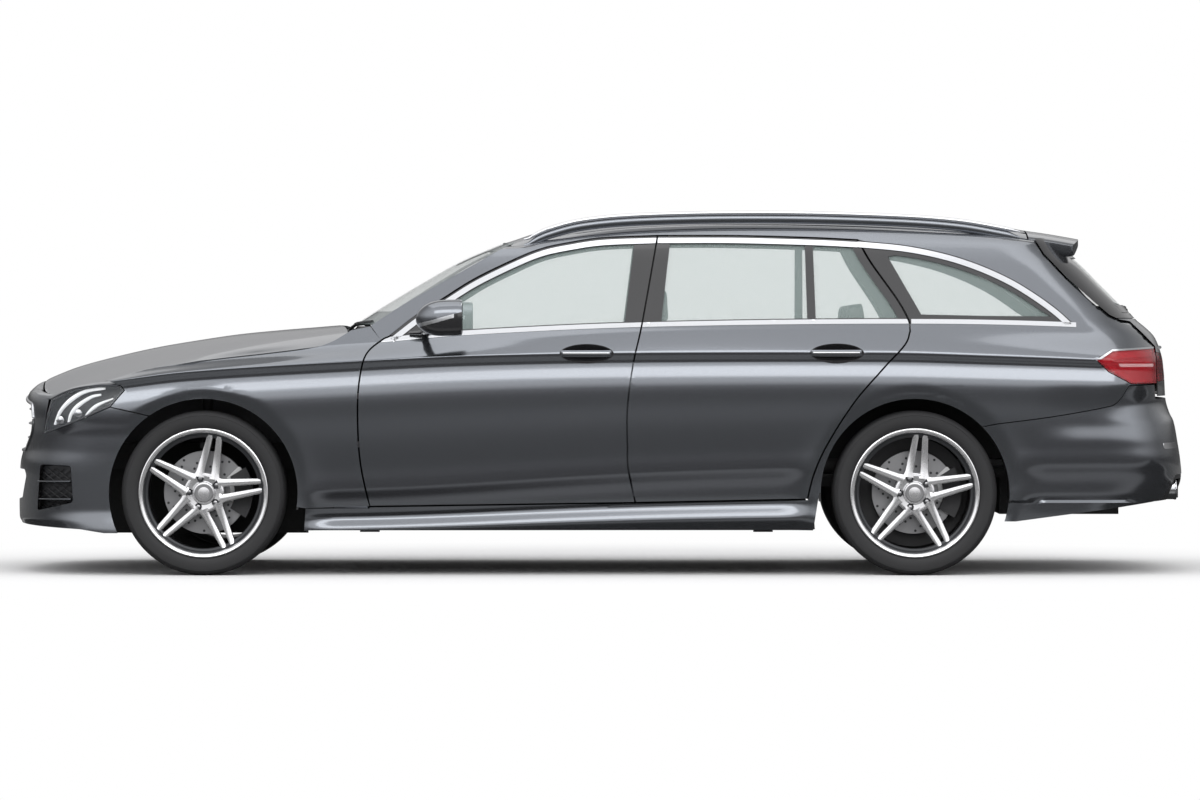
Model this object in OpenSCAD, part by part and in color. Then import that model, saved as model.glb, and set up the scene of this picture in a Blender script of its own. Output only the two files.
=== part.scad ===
// Station wagon. Front towards -X, left side towards -Y, ground at z = 0, origin at mid length. Millimetres.

/* [Overall] */
// Overall length over the bumpers
length = 4933; // [4110:5920]
// Overall width of the body without the mirrors
width = 1852; // [1545:2220]
// Overall height over the roof rails
height = 1510; // [1260:1810]

/* [Panels] */
// Gap between a moving panel and its neighbours
shut_gap = 7; // [6:9]
// Thickness of fixed outer panels
panel_t = 42; // [35:50]
// Thickness of the fender and bumper skins
skin_t = 25; // [20:30]
// Thickness of a whole door below its window
door_t = 110; // [92:118]
// Thickness of the window glass
glass_t = 5; // [4:6]
// Depth of the side glass behind the outer surface
glass_depth = 14; // [11:17]
// Clearance between fixed pieces that are fitted together
seat_gap = 0.3; // [0.2:0.4]

/* [Wheels] */
// Outer radius of a tyre
tyre_r = 340; // [284:380]
// Width of a tyre
tyre_w = 245; // [204:275]
// Radius of the wheel rim over its flange
rim_r = 268; // [240:280]
// Distance of a tyre's middle from the car's middle
track_half = 790; // [740:800]
// Clearance between the tyre and the wheel arch
arch_gap = 50; // [42:60]
// Radius of the brake discs
disc_r = 173; // [150:185]
// Radius of the wheel spindles
spindle_r = 20; // [17:24]

/* [Hinges] */
// Radius of the door hinge pins
pin_r = 4; // [3.5:4.5]
// Radial clearance of every running fit
running_gap = 0.05; // [0.02:0.1]
// Radius of the round plate around each hinge pin
eye_r = 8; // [7:8.5]

/* [Hidden] */
$fn = 48;
// Scale of the body outline against its drawn size of 4933 by 1852 by 1510
kx = length / 4933;
ky = width / 1852;
kz = height / 1510;
axle_front = -1638;
axle_rear = 1301;
arch_r = tyre_r + arch_gap;
paint = [0.46, 0.49, 0.53];
black = [0.08, 0.08, 0.09];
tint = [0.55, 0.68, 0.66, 0.4];
bright = [0.8, 0.81, 0.83];
nose_n = 2.4;
tail_n = 2.8;
nose_start = -1946;

// ---- Curves through chosen points ----
function lerp(a, b, t) = a + (b - a) * t;
function ease(t) = let (c = max(0, min(1, t))) c * c * (3 - 2 * c);
function span_of(x, k, i = 0) = i >= len(k) - 2 || x < k[i + 1][0] ? i : span_of(x, k, i + 1);
function grade(k, i) =
  let (a = max(0, i - 1), b = min(len(k) - 1, i + 1)) (k[b][1] - k[a][1]) / (k[b][0] - k[a][0]);
function curve(x, k) =
  let (i = span_of(x, k), h = k[i + 1][0] - k[i][0])
  let (t = (max(k[0][0], min(k[len(k) - 1][0], x)) - k[i][0]) / h)
  (2 * t ^ 3 - 3 * t ^ 2 + 1) * k[i][1] + (t ^ 3 - 2 * t ^ 2 + t) * h * grade(k, i)
  + (3 * t ^ 2 - 2 * t ^ 3) * k[i + 1][1] + (t ^ 3 - t ^ 2) * h * grade(k, i + 1);

// ---- Body lines seen from the side, as [x, z] ----
low_fold = [[-2470, 330], [-961, 358], [122, 422], [817, 445], [2470, 470]];
crease = [[-2470, 745], [-2022, 800], [-1702, 840], [-994, 884], [-530, 905], [140, 916], [1215, 916],
          [1584, 905], [1970, 891], [2470, 870]];
belt = [[-2470, 775], [-2022, 826], [-1856, 857], [-1592, 891], [-1370, 916], [-1100, 948], [-928, 960],
        [-553, 992], [170, 1025], [1276, 1039], [1968, 1025], [2470, 990]];
front_shut = [[-952, 284], [-989, 466], [-1000, 640], [-995, 791], [-967, 911], [-906, 970]];
roof_shut = [[-873, 987], [-763, 1073], [-652, 1144], [-522, 1226], [-355, 1308], [-245, 1352],
             [-133, 1377], [11, 1398], [240, 1407]];
roof_shut_rear = [[240, 1407], [558, 1407], [893, 1398], [1074, 1389]];
quarter_top = [[1074, 1389], [1265, 1371], [1431, 1338], [1574, 1292], [1706, 1232], [1813, 1166],
               [1900, 1101], [1958, 1047]];
b_shut = [[240, 1407], [222, 1303], [172, 1030], [138, 878], [113, 694], [113, 531], [116, 444], [146, 300]];
c_shut = [[1074, 1389], [1127, 1292], [1232, 1139], [1277, 1052], [1282, 1009], [1260, 954], [1172, 857],
          [1050, 716], [939, 542], [884, 422], [856, 314]];
pillar_edge = [[-951, 1032], [-810, 1123], [-607, 1239], [-403, 1356], [-337, 1389]];
hood_side = [[-1033, 1014], [-1050, 1003], [-1116, 965], [-1205, 938], [-1370, 916], [-1592, 891],
             [-1856, 857], [-2034, 807]];
gate_shut = [[1790, 1437], [1850, 1330], [1940, 1231], [2050, 1130], [2116, 1074], [2162, 1054],
             [2210, 1047], [2280, 977], [2316, 944]];
lamp_front = [[-2022, 696], [-2157, 637], [-2317, 580], [-2300, 670], [-2282, 727], [-2191, 767],
              [-2070, 786], [-1978, 783], [-1963, 764]];
lamp_rear = [[2046, 891], [2115, 932], [2316, 944], [2316, 791], [2194, 791], [2100, 840]];
bumper_rear_top = [[1589, 618], [1650, 629], [1860, 656], [2075, 694], [2135, 716], [2186, 786]];

// ---- Body surface: half width of the side at a height, as [height on the reference section, y] ----
half_width = [[120, 850], [186, 862], [235, 878], [300, 884], [360, 896], [422, 914], [500, 918],
              [600, 922], [700, 923], [800, 919], [875, 914], [899, 921], [907, 922], [925, 917],
              [960, 904], [1000, 886], [1030, 868], [1100, 830], [1200, 775], [1300, 718], [1400, 655],
              [1418, 642], [1432, 620], [1442, 595], [1452, 565]];
narrowing = [[-2470, 40], [-1600, 40], [-1000, 36], [-600, 16], [0, 0], [900, 5], [1700, 28], [2470, 75]];
nose_x = [[150, -2440], [203, -2455], [225, -2466], [380, -2466], [459, -2462], [518, -2449],
          [600, -2442], [690, -2437], [749, -2424], [782, -2390], [799, -2366], [840, -2290]];
tail_x = [[250, 2360], [277, 2377], [304, 2430], [337, 2445], [388, 2462], [458, 2458], [543, 2445],
          [631, 2428], [665, 2411], [723, 2394], [841, 2385], [900, 2377], [958, 2360], [992, 2343],
          [1026, 2309], [1055, 2274], [1114, 2223], [1202, 2138], [1290, 2052], [1340, 1996], [1437, 1915]];
tail_run = [[200, 400], [700, 380], [800, 330], [1437, 320]];
roof_mid = [[-402, 1384], [-257, 1430], [-86, 1462], [86, 1481], [257, 1491], [500, 1498], [770, 1498],
            [1026, 1493], [1197, 1487], [1368, 1478], [1539, 1466], [1710, 1450], [1791, 1437], [1900, 1421],
            [2031, 1398]];
hood_mid = [[-2366, 797], [-2340, 812], [-2223, 858], [-2052, 904], [-1881, 942], [-1710, 971],
            [-1539, 996], [-1368, 1013], [-1197, 1027], [-1040, 1040]];
screen_mid = [[1020, -1079], [1047, -1030], [1114, -924], [1216, -754], [1310, -585], [1382, -415],
              [1404, -360]];

function tail_start(z) = curve(z, tail_x) - curve(z, tail_run);
function z_ref(x, z) =
  let (a = curve(x, low_fold), c = curve(x, crease), b = curve(x, belt))
  z < a ? z * 422 / a : z < c ? 422 + (z - a) * 483 / (c - a) : z < b ? 905 + (z - c) * 125 / (b - c)
  : 1030 + z - b;
function z_at(x, r) =
  let (a = curve(x, low_fold), c = curve(x, crease), b = curve(x, belt))
  r < 422 ? r * a / 422 : r < 905 ? a + (r - 422) * (c - a) / 483 : r < 1030 ? c + (r - 905) * (b - c) / 125
  : b + r - 1030;
function flare(x, z) =
  max(ease(1 - (norm([x - axle_front, z - 340]) - 390) / 160),
      ease(1 - (norm([x - axle_rear, z - 340]) - 390) / 160));
function core_y(x, z) =
  let (r = z_ref(x, z), w = curve(r, half_width))
  w + (r < 800 ? max(0, 922 - w) * flare(x, z) : 0) - curve(x, narrowing) * ease((r - 905) / 110);
function rounding(u, n) = max(0.001, 1 - max(0, min(1, u)) ^ n) ^ (1 / n);
function side_y(x, z) =
  core_y(x, z) * rounding((nose_start - x) / (nose_start - curve(z, nose_x)), nose_n)
  * rounding((x - tail_start(z)) / curve(z, tail_run), tail_n);
function hood_z(x, y) =
  let (sweep = 80 * (abs(y) / 590) ^ 2.2, t = (x + 2366 - sweep) / (1326 - sweep))
  let (s = max(0, min(1, t)), front = 68 * (1 - exp(-(y / 400) ^ 2)), rear = 92 * (abs(y) / 835) ^ 2.6)
  curve(-2366 + 1326 * s, hood_mid) - lerp(front, rear, s);
function roof_z(x, y) = curve(x, roof_mid) - 72 * (abs(y) / 640) ^ 4;
function screen_x(y, z) = curve(z, screen_mid) + 105 * (y / 700) ^ 2;
function edge_x(z) = curve(z, [for (p = pillar_edge) [p[1], p[0]]]);

// ---- Solids from two grids of points, the outer one first ----
// Faces between four neighbours, by the numbers of their points in grids of n rows and m columns
function cell(a, b, c, d, n, m) = [for (p = [a, b, c, d]) p[0] * n * m + p[1] * m + p[2]];
module grid_solid(outer, inner, flip = false) {
  n = len(outer);
  m = len(outer[0]);
  points = concat([for (row = outer) for (p = row) p], [for (row = inner) for (p = row) p]);
  rows = [for (i = [0:n - 2]) i];
  cols = [for (j = [0:m - 2]) j];
  quads = concat(
    [for (i = rows) for (j = cols) cell([0, i, j], [0, i, j + 1], [0, i + 1, j + 1], [0, i + 1, j], n, m)],
    [for (i = rows) for (j = cols) cell([1, i, j], [1, i + 1, j], [1, i + 1, j + 1], [1, i, j + 1], n, m)],
    [for (i = rows) cell([0, i + 1, 0], [1, i + 1, 0], [1, i, 0], [0, i, 0], n, m)],
    [for (i = rows) cell([0, i, m - 1], [1, i, m - 1], [1, i + 1, m - 1], [0, i + 1, m - 1], n, m)],
    [for (j = cols) cell([0, 0, j], [1, 0, j], [1, 0, j + 1], [0, 0, j + 1], n, m)],
    [for (j = cols) cell([0, n - 1, j + 1], [1, n - 1, j + 1], [1, n - 1, j], [0, n - 1, j], n, m)]);
  faces = [for (q = quads) each [[q[0], q[1], q[2]], [q[0], q[2], q[3]]]];
  polyhedron(points, flip ? faces : [for (f = faces) [f[2], f[1], f[0]]]);
}
// Sections along the car, and heights on the reference section, that all pieces of the sides share
sections = [-2330, -2285, -2225, -2150, -2050, -1930, -1750, -1500, -1250, -1100, -1010, -910, -800, -650, -480,
            -300, -100, 100, 350, 600, 850, 1060, 1250, 1400, 1550, 1700, 1800, 1900, 2000, 2090, 2170, 2240,
            2290, 2330];
levels = [150, 235, 300, 422, 600, 800, 905, 930, 970, 1030, 1115, 1200, 1300, 1400, 1424, 1440, 1452];
function cover(list, low, high) =
  [for (i = [0:len(list) - 1]) if (list[min(i + 1, len(list) - 1)] > low && list[max(i - 1, 0)] < high) list[i]];
// Left side of the body between two depths below its surface
module side_block(x0, x1, r0, r1, d0, d1) {
  xs = cover(sections, x0, x1);
  rows = cover(levels, r0, r1);
  grid_solid([for (r = rows) [for (x = xs) let (z = z_at(x, r)) [x, -side_y(x, z) + d0, z]]],
             [for (r = rows) [for (x = xs) let (z = z_at(x, r)) [x, -side_y(x, z) + d1, z]]]);
}
// Everything outboard of a depth below the left side
module outside(d, x0 = -2300, x1 = 2300, r0 = 150, r1 = 1452) side_block(x0, x1, r0, r1, -300, d);
// A shape drawn as [x, z] becomes a bar across the left half
module across(y0 = -1100, y1 = 0) translate([0, y1, 0]) rotate([90, 0, 0]) linear_extrude(y1 - y0) children();
// The body is drawn at one size and stretched to the overall one; whole bodies are made as one mesh
module body() scale([kx, ky, kz]) resize([0, 0, 0]) children();
module place(p) translate([p[0] * kx, p[1] * ky, p[2] * kz]) children();
module right() mirror([0, 1, 0]) children();
module both() {
  children();
  mirror([0, 1, 0]) children();
}
module arch_hole(r = arch_r) for (x = [axle_front, axle_rear]) translate([x, tyre_r]) circle(r, $fn = 40);

// ---- Outlines ----
door_front_line = concat(front_shut, roof_shut, [for (i = [1:len(b_shut) - 1]) b_shut[i]]);
door_rear_line = concat([for (i = [len(b_shut) - 1:-1:0]) b_shut[i]], [for (i = [1:3]) roof_shut_rear[i]],
                        [for (i = [1:len(c_shut) - 1]) c_shut[i]]);
module below_belt(drop = 0) polygon(concat([for (p = belt) [p[0], p[1] - drop]], [[2500, 0], [-2500, 0]]));
module above_belt(rise = 0) polygon(concat([for (p = belt) [p[0], p[1] + rise]], [[2500, 2000], [-2500, 2000]]));
module front_window() intersection() {
  offset(delta = -34) polygon(door_front_line);
  above_belt(24);
  polygon([[-690, 900], [84, 900], [152, 1450], [-690, 1450]]);
}
module rear_window() intersection() {
  offset(delta = -34) polygon(door_rear_line);
  above_belt(24);
  polygon([[236, 900], [1300, 900], [1300, 1100], [1090, 1450], [300, 1450]]);
}
module quarter_window() offset(delta = -28) difference() {
  polygon(concat([[1300, 1030]], quarter_top, [[1958, 1000], [1300, 1000]]));
  below_belt(-8);
  polygon([[1000, 900], [1290, 1000], [1290, 1040], [1086, 1400], [1000, 1400]]);
}

// ---- Body structure ----
sill_t = 175;
cargo_half = 600 - seat_gap;
module floor_pan() color([0.25, 0.26, 0.28]) body() difference() {
  union() {
    translate([-1150, -760, 190]) cube([2010, 1520, 40]);
    translate([-1150, -110, 228]) cube([1630, 220, 150]);
    translate([-1150, -640, 190]) cube([40, 1280, 735]);
    translate([820, -cargo_half, 190]) cube([40, 2 * cargo_half, 210]);
    translate([820, -cargo_half, 360]) cube([310, 2 * cargo_half, 40]);
    translate([1100, -cargo_half, 360]) cube([30, 2 * cargo_half, 80]);
    translate([1100, -cargo_half, 400]) cube([1265, 2 * cargo_half, 40]);
    translate([1680, -430, 240]) cube([500, 860, 162]);
    for (y = [-460, 400]) translate([-2320, y, 430]) cube([1200, 60, 110]);
    translate([-2340, -540, 430]) cube([50, 1080, 110]);
    for (x = [-1000, 640]) for (y = [-660, 600]) translate([x, y, 172]) cube([80, 60, 20]);
  }
  both() outside(sill_t + seat_gap, -1221, 905, 150, 422);
}
module side_outline() difference() {
  polygon(concat([[-906, 970]], pillar_edge, [[-200, 1449]], [[-86, 1560], [1700, 1560]],
                 gate_shut, [[2316, 791], [2186, 786]], [for (i = [4:-1:0]) bumper_rear_top[i]],
                 [[1560, 618], [1300, 340], [905, 340], [880, 186], [-1221, 186], [-1215, 276], [-952, 276]]));
  polygon(concat(front_shut, [[-1200, 970], [-1200, 284]]));
  offset(delta = shut_gap / 2) polygon(door_front_line);
  offset(delta = shut_gap / 2) polygon(door_rear_line);
  quarter_window();
  offset(delta = seat_gap) polygon(lamp_rear);
  offset(delta = shut_gap / 2) gate_side();
  arch_hole();
}
module side_frame() difference() {
  union() {
    intersection() {
      side_block(-1230, 2320, 150, 1452, 0, panel_t);
      across() side_outline();
    }
    intersection() {
      side_block(-1221, 905, 150, 300, 0, sill_t);
      across() difference() {
        polygon([[-1221, 186], [-1215, 276], [-952, 276], [146, 292], [853, 306], [895, 300], [905, 186]]);
        arch_hole();
      }
    }
    intersection() {
      side_block(-1120, -900, 150, 1115, skin_t + seat_gap, 130);
      across() difference() {
        polygon([[-1100, 200], [-900, 200], [-900, 985], [-905, 1018], [-950, 1018], [-1060, 975], [-1100, 900]]);
        offset(delta = shut_gap + 3) polygon(door_front_line);
      }
    }
    intersection() {
      side_block(95, 215, 150, 1115, mid_post, mid_post + 42);
      across() polygon([[95, 200], [215, 200], [215, 1100], [150, 1100], [95, 800]]);
    }
    intersection() {
      side_block(150, 225, 1000, 1115, panel_t + 7, mid_post + 42);
      across() polygon([[150, 1046], [220, 1046], [225, 1100], [150, 1100]]);
    }
    intersection() {
      side_block(150, 290, 1000, 1452, panel_t + 7, 72);
      across() polygon([[150, 1046], [220, 1046], [290, 1421], [200, 1421]]);
    }
    intersection() {
      side_block(200, 290, 1400, 1452, 12, 72);
      across() polygon([[200, 1412], [290, 1412], [290, 1421], [200, 1421]]);
    }
  }
  translate([-1120, -1000, 700]) cube([80, 70, 60]);
}
module side_frame_left() color(paint) body() side_frame();
module side_frame_right() color(paint) body() right() side_frame();

roof_y = 560;
function roof_nose(x, y) = x + max(0, -x - 86) / 328 * 67 * (y / roof_y) ^ 2;
module roof_panel() color(paint) body() {
  cols = [-414, -340, -257, -86, 86, 300, 550, 800, 1026, 1250, 1450, 1650, 1786.5];
  rows = [for (i = [-6:6]) i * roof_y / 6];
  difference() {
    grid_solid([for (y = rows) [for (x = cols) [roof_nose(x, y), y, roof_z(x, y)]]],
               [for (y = rows) [for (x = cols) [roof_nose(x, y), y, roof_z(x, y) - 35]]]);
    both() outside(panel_t + seat_gap, -500, 1900, 1200, 1452);
    for (y = [-450, 450]) translate([1700, y - 22, 1300]) cube([100, 44, 122]);
  }
}
rail_line = [[-300, 1384], [-220, 1431], [-73, 1469], [175, 1491], [671, 1500], [1167, 1490], [1497, 1468],
             [1740, 1422]];
rail_inset = [[-324, 52], [0, 60], [1400, 60], [1760, 58]];
module roof_rails() color(bright) body() both() difference() {
  for (i = [0:len(rail_line) - 2]) hull() for (p = [rail_line[i], rail_line[i + 1]])
    translate([p[0], -side_y(p[0], 1395) + curve(p[0], rail_inset), p[1]]) {
      sphere(13, $fn = 8);
      translate([0, 0, -26]) sphere(10, $fn = 8);
    }
  difference() {
    translate([-600, -800, 1000]) cube([2600, 800, 600]);
    translate([-600, -800, 1600]) cube(1);
    difference() {
      translate([-590, -790, 1000]) cube([2580, 790, 590]);
      side_block(-500, 1900, 1115, 1452, -seat_gap, 200);
      cols = [-420, -257, -86, 86, 300, 550, 800, 1026, 1250, 1450, 1650, 1800];
      grid_solid([for (y = [-700, -640, -600, -560, -500, -400]) [for (x = cols) [x, y, roof_z(x, y) + seat_gap]]],
                 [for (y = [-700, -640, -600, -560, -500, -400]) [for (x = cols) [x, y, 1200]]]);
    }
  }
}
function screen_half(z, inset) = side_y(edge_x(z), z) - inset;
module screen_solid(z0, z1, count, inset, t) {
  zs = [for (i = [0:count]) lerp(z0, z1, i / count)];
  grid_solid([for (z = zs) [for (s = [-5:5]) let (y = s / 5 * screen_half(z, inset)) [screen_x(y, z), y, z]]],
             [for (z = zs) [for (s = [-5:5]) let (y = s / 5 * screen_half(z, inset)) [screen_x(y, z) + t * 0.5, y, z - t * 0.86]]],
             true);
}
module windshield() color(tint) body() difference() {
  screen_solid(1036, 1380, 8, panel_t + 2, 6);
  both() outside(panel_t + seat_gap, -1300, -300, 930, 1452);
}
module quarter_windows() color(tint) body() both() intersection() {
  side_block(1120, 1990, 1000, 1400, glass_depth, glass_depth + glass_t);
  across() offset(delta = -seat_gap) quarter_window();
}
cowl_front = [[0, -1098], [250, -1068], [450, -1036], [690, -1026]];
module cowl() color(black) body() {
  rows = [for (i = [-6:6]) i * 780 / 6];
  difference() {
    grid_solid([for (y = rows) [[curve(abs(y), cowl_front), y, 985], [screen_x(y, 1036) + 12, y, 1030]]],
               [for (y = rows) [[curve(abs(y), cowl_front), y, 965], [screen_x(y, 1036) + 12, y, 990]]]);
    both() outside(130 + seat_gap, -1200, -800, 800, 1115);
  }
  // Wiper arms on round posts
  for (w = [[-600, -40], [20, 560]]) {
    for (i = [0:4]) hull() for (y = [lerp(w[0], w[1], i / 5), lerp(w[0], w[1], (i + 1) / 5)])
      translate([screen_x(y, 1044) - 24, y, 1044]) sphere(6, $fn = 8);
    translate([screen_x(w[1], 1044) - 24, w[1], 980]) cylinder(h = 64, r = 6, $fn = 16);
  }
}
module fender_outline() difference() {
  polygon(concat([[-1215, 278]], [[-953, 286]], [for (i = [1:5]) front_shut[i]], [[-951, 1030]], hood_side,
                 [[-1978, 783], [-1963, 764], [-2022, 696], [-1908, 672], [-1864, 659]], [[-1800, 659], [-1638, 340]]));
  offset(delta = shut_gap / 2) polygon(door_front_line);
  offset(delta = seat_gap) polygon(lamp_front);
  offset(delta = seat_gap) polygon(concat([[-906, 970]], pillar_edge, [[-337, 970]]));
  offset(delta = shut_gap) polygon(concat(hood_side, [[-2200, 900], [-2000, 1100], [-1033, 1100]]));
  arch_hole();
}
module hood_room() translate([0, 0, 690]) linear_extrude(400) offset(delta = shut_gap) hood_outline();
module front_fenders() color(paint) body() both() difference() {
  intersection() {
    side_block(-2060, -900, 150, 1115, 0, skin_t);
    across() fender_outline();
  }
  intersection() {
    side_block(-1200, -880, 150, 1115, skin_t - 16, 60);
    across() polygon([[-1020, 270], [-900, 270], [-900, 960], [-985, 960], [-1020, 800]]);
  }
  hood_room();
}
// Ring of columns around an end of the car; each column is a height, then [x, y]
function nose_point(z, a, t) =
  let (w = core_y(nose_start, z) - t, l = nose_start - curve(z, nose_x) - t)
  [nose_start - l * cos(a) ^ (2 / nose_n), w * sign(a) * abs(sin(a)) ^ (2 / nose_n), z];
function tail_point(z, a, t) =
  let (x = tail_start(z), w = core_y(x, z) - t, l = curve(z, tail_run) - t)
  [x + l * cos(a) ^ (2 / tail_n), w * sign(a) * abs(sin(a)) ^ (2 / tail_n), z];
ring_angles = [90, 72, 55, 40, 28, 17, 7];
function nose_ring(z, t) = concat(
  [for (x = [-1850, -1900]) [x, -core_y(x, z) + t, z]], [for (a = ring_angles) nose_point(z, -a, t)],
  [for (i = [6:-1:0]) nose_point(z, ring_angles[i], t)], [for (x = [-1900, -1850]) [x, core_y(x, z) - t, z]]);
function tail_side(z, s) = lerp(min(1560, tail_start(z) - 120), tail_start(z), s);
function tail_ring(z, t) = concat(
  [for (s = [0, 0.5]) let (x = tail_side(z, s)) [x, -core_y(x, z) + t, z]], [for (a = ring_angles) tail_point(z, -a, t)],
  [for (i = [6:-1:0]) tail_point(z, ring_angles[i], t)], [for (s = [0.5, 0]) let (x = tail_side(z, s)) [x, core_y(x, z) - t, z]]);
nose_rows = [175, 225, 380, 470, 560, 660, 720, 770, 797];
tail_rows = [220, 290, 330, 400, 460, 545, 600, 665, 730, 786];
module nose_shell(t0, t1)
  grid_solid([for (z = nose_rows) nose_ring(z, t0)], [for (z = nose_rows) nose_ring(z, t1)], true);
module tail_shell(rows, t0, t1)
  grid_solid([for (z = rows) tail_ring(z, t0)], [for (z = rows) tail_ring(z, t1)]);
grille_outline = [[35, 508], [300, 500], [400, 560], [425, 640], [380, 715], [60, 748], [35, 738]];
module grille_shape() offset(r = 12, $fn = 16) offset(delta = -12) polygon(grille_outline);
module ahead(x0 = -2600, x1 = -1950) translate([x0, 0, 0]) rotate([90, 0, 90]) linear_extrude(x1 - x0) children();
side_intake = [[-2345, 262], [-2180, 300], [-2190, 452], [-2330, 455]];
module front_bumper() color(paint) body() difference() {
  nose_shell(0, skin_t);
  hood_room();
  across(-1100, 1100) offset(delta = seat_gap) polygon(concat([[-1700, 659], [-1864, 659], [-2022, 696], [-2157, 637], [-2317, 580],
    [-2300, 670], [-2290, 725], [-2372, 757], [-2600, 757]], [[-2600, 900], [-1700, 900]]));
  across(-1100, 1100) arch_hole();
  across(-1100, 1100) polygon([[-1500, 100], [-2028, 172], [-2150, 190], [-2450, 203], [-2600, 203], [-2600, 100]]);
  ahead() both2d() grille_shape();
  ahead() polygon([[-430, 300], [430, 300], [520, 405], [480, 430], [-480, 430], [-520, 405]]);
  both() across(-1000, -480) offset(r = 10, $fn = 12) polygon(side_intake);
}
module both2d() {
  children();
  mirror([1, 0]) children();
}
module front_grille() color(bright) body() both() intersection() {
  union() {
    ahead() difference() {
      offset(delta = -seat_gap) grille_shape();
      offset(delta = -14) grille_shape();
    }
    for (y = [85:60:400]) ahead() intersection() {
      offset(delta = -6) grille_shape();
      translate([y, 480]) square([9, 320]);
    }
  }
  nose_shell(2, 60);
}
module headlamps() color([0.75, 0.78, 0.8]) body() both() difference() {
  intersection() {
    side_block(-2320, -1950, 600, 1030, 2, 110);
    across() offset(delta = -seat_gap) polygon(lamp_front);
  }
  hood_room();
}
module tail_lamps() color([0.5, 0.03, 0.04]) body() both() intersection() {
  side_block(2030, 2316, 800, 1030, 0, 60);
  across() intersection() {
    polygon(lamp_rear);
    translate([2000, 700]) square([316 - shut_gap / 2, 300]);
  }
}
module rear_bumper() color(paint) body() difference() {
  tail_shell(tail_rows, 0, skin_t);
  across(-1100, 1100) polygon(concat([for (p = bumper_rear_top) [p[0], p[1] - seat_gap]],
                              [[2302, 786 - seat_gap], [2309, 728], [2600, 728], [2600, 900], [1500, 900], [1500, 618]]));
  across(-1100, 1100) arch_hole();
  across(-1100, 1100) polygon([[1500, 100], [1711, 219], [2136, 276], [2302, 300], [2380, 305], [2600, 305], [2600, 100]]);
  for (y = [-640, 440]) translate([2300, y, 300]) cube([200, 200, 92]);
}
module exhaust() color([0.7, 0.7, 0.72]) body() both() {
  translate([0, -540, 346]) rotate([0, 90, 0]) translate([0, 0, 2190]) difference() {
    linear_extrude(230) offset(r = 20, $fn = 16) square([44, 120], center = true);
    translate([0, 0, -1]) linear_extrude(232) offset(r = 16, $fn = 16) square([44, 120], center = true);
  }
  translate([2240, -570, 385]) cube([60, 60, 15 - seat_gap]);
  translate([1720, -420, 180]) cube([400, 240, 60 - seat_gap]);
}

// ---- Cabin ----
module dashboard() color([0.12, 0.12, 0.13]) {
  body() difference() {
    translate([0, 690, 0]) rotate([90, 0, 0]) linear_extrude(1380)
      polygon([[-1110 + seat_gap, 640], [-1110 + seat_gap, 880], [-1000, 950], [-760, 985], [-620, 930], [-610, 860],
               [-720, 700], [-900, 600]]);
    both() outside(panel_t + 110, -1150, -550, 600, 1115);
  }
  // Steering column with the pin that the wheel turns on
  place(wheel_hub) rotate([0, 90 - wheel_tilt, 0]) {
    translate([0, 0, -260]) cylinder(h = 185, r = 24);
    translate([0, 0, -80]) cylinder(h = 49, r = column_pin_r, $fn = 32);
  }
}
module seat_shape(w) {
  for (p = [[[-430, 330], [-420, 470], [120, 440], [120, 330]], [[60, 400], [-10, 470], [170, 1060], [290, 1060], [200, 400]]])
    rotate([90, 0, 0]) linear_extrude(w, center = true) offset(r = 25, $fn = 16) offset(delta = -25) polygon(p);
  rotate([90, 0, 0]) linear_extrude(w * 0.5, center = true) offset(r = 20, $fn = 16) offset(delta = -20)
    polygon([[200, 1040], [190, 1180], [280, 1190], [290, 1040]]);
  translate([-380, -w / 2 + 40, 230 + seat_gap]) cube([430, w - 80, 140]);
}
module front_seats() color([0.16, 0.16, 0.17]) body() for (y = [-370, 370]) translate([0, y, 0]) seat_shape(500);
module rear_seat() color([0.16, 0.16, 0.17]) body() {
  for (p = [[[540, 400 + seat_gap], [530, 530], [1030, 520], [1030, 400 + seat_gap]],
            [[940, 470], [900, 540], [1040, 1010], [1120, 1010], [1090, 470]]])
    rotate([90, 0, 0]) linear_extrude(1160, center = true) offset(r = 25, $fn = 16) offset(delta = -25) polygon(p);
  translate([500, -560, 230 + seat_gap]) cube([300, 1120, 180]);
  for (y = [-400, 0, 400]) translate([0, y, 0]) rotate([90, 0, 0]) linear_extrude(240, center = true)
    offset(r = 20, $fn = 16) offset(delta = -20) polygon([[1040, 990], [1030, 1120], [1110, 1125], [1115, 990]]);
}
module engine_block() color([0.3, 0.3, 0.32]) body()
  translate([-2130, -400 + seat_gap, 320]) cube([900, 2 * (400 - seat_gap), 460]);

// ---- Hinges ----
// Door hinge axes, as [x, distance from the middle], and hinge heights
front_hinge = [-921, 905];
rear_hinge = [192, 905];
hinge_heights = [540, 740];
gate_hinge = [1741, 1405];
hood_hinge = [-1075, 1000];
gate_pin_r = 5;
hood_pin_r = 4.5;
steer_y = 690;
kingpin_r = 12;
module door_pins(p) for (z = hinge_heights) place([p[0], -p[1], z]) translate([0, 0, -36 * kz])
  cylinder(h = 72 * kz, r = pin_r, $fn = 32);
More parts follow.
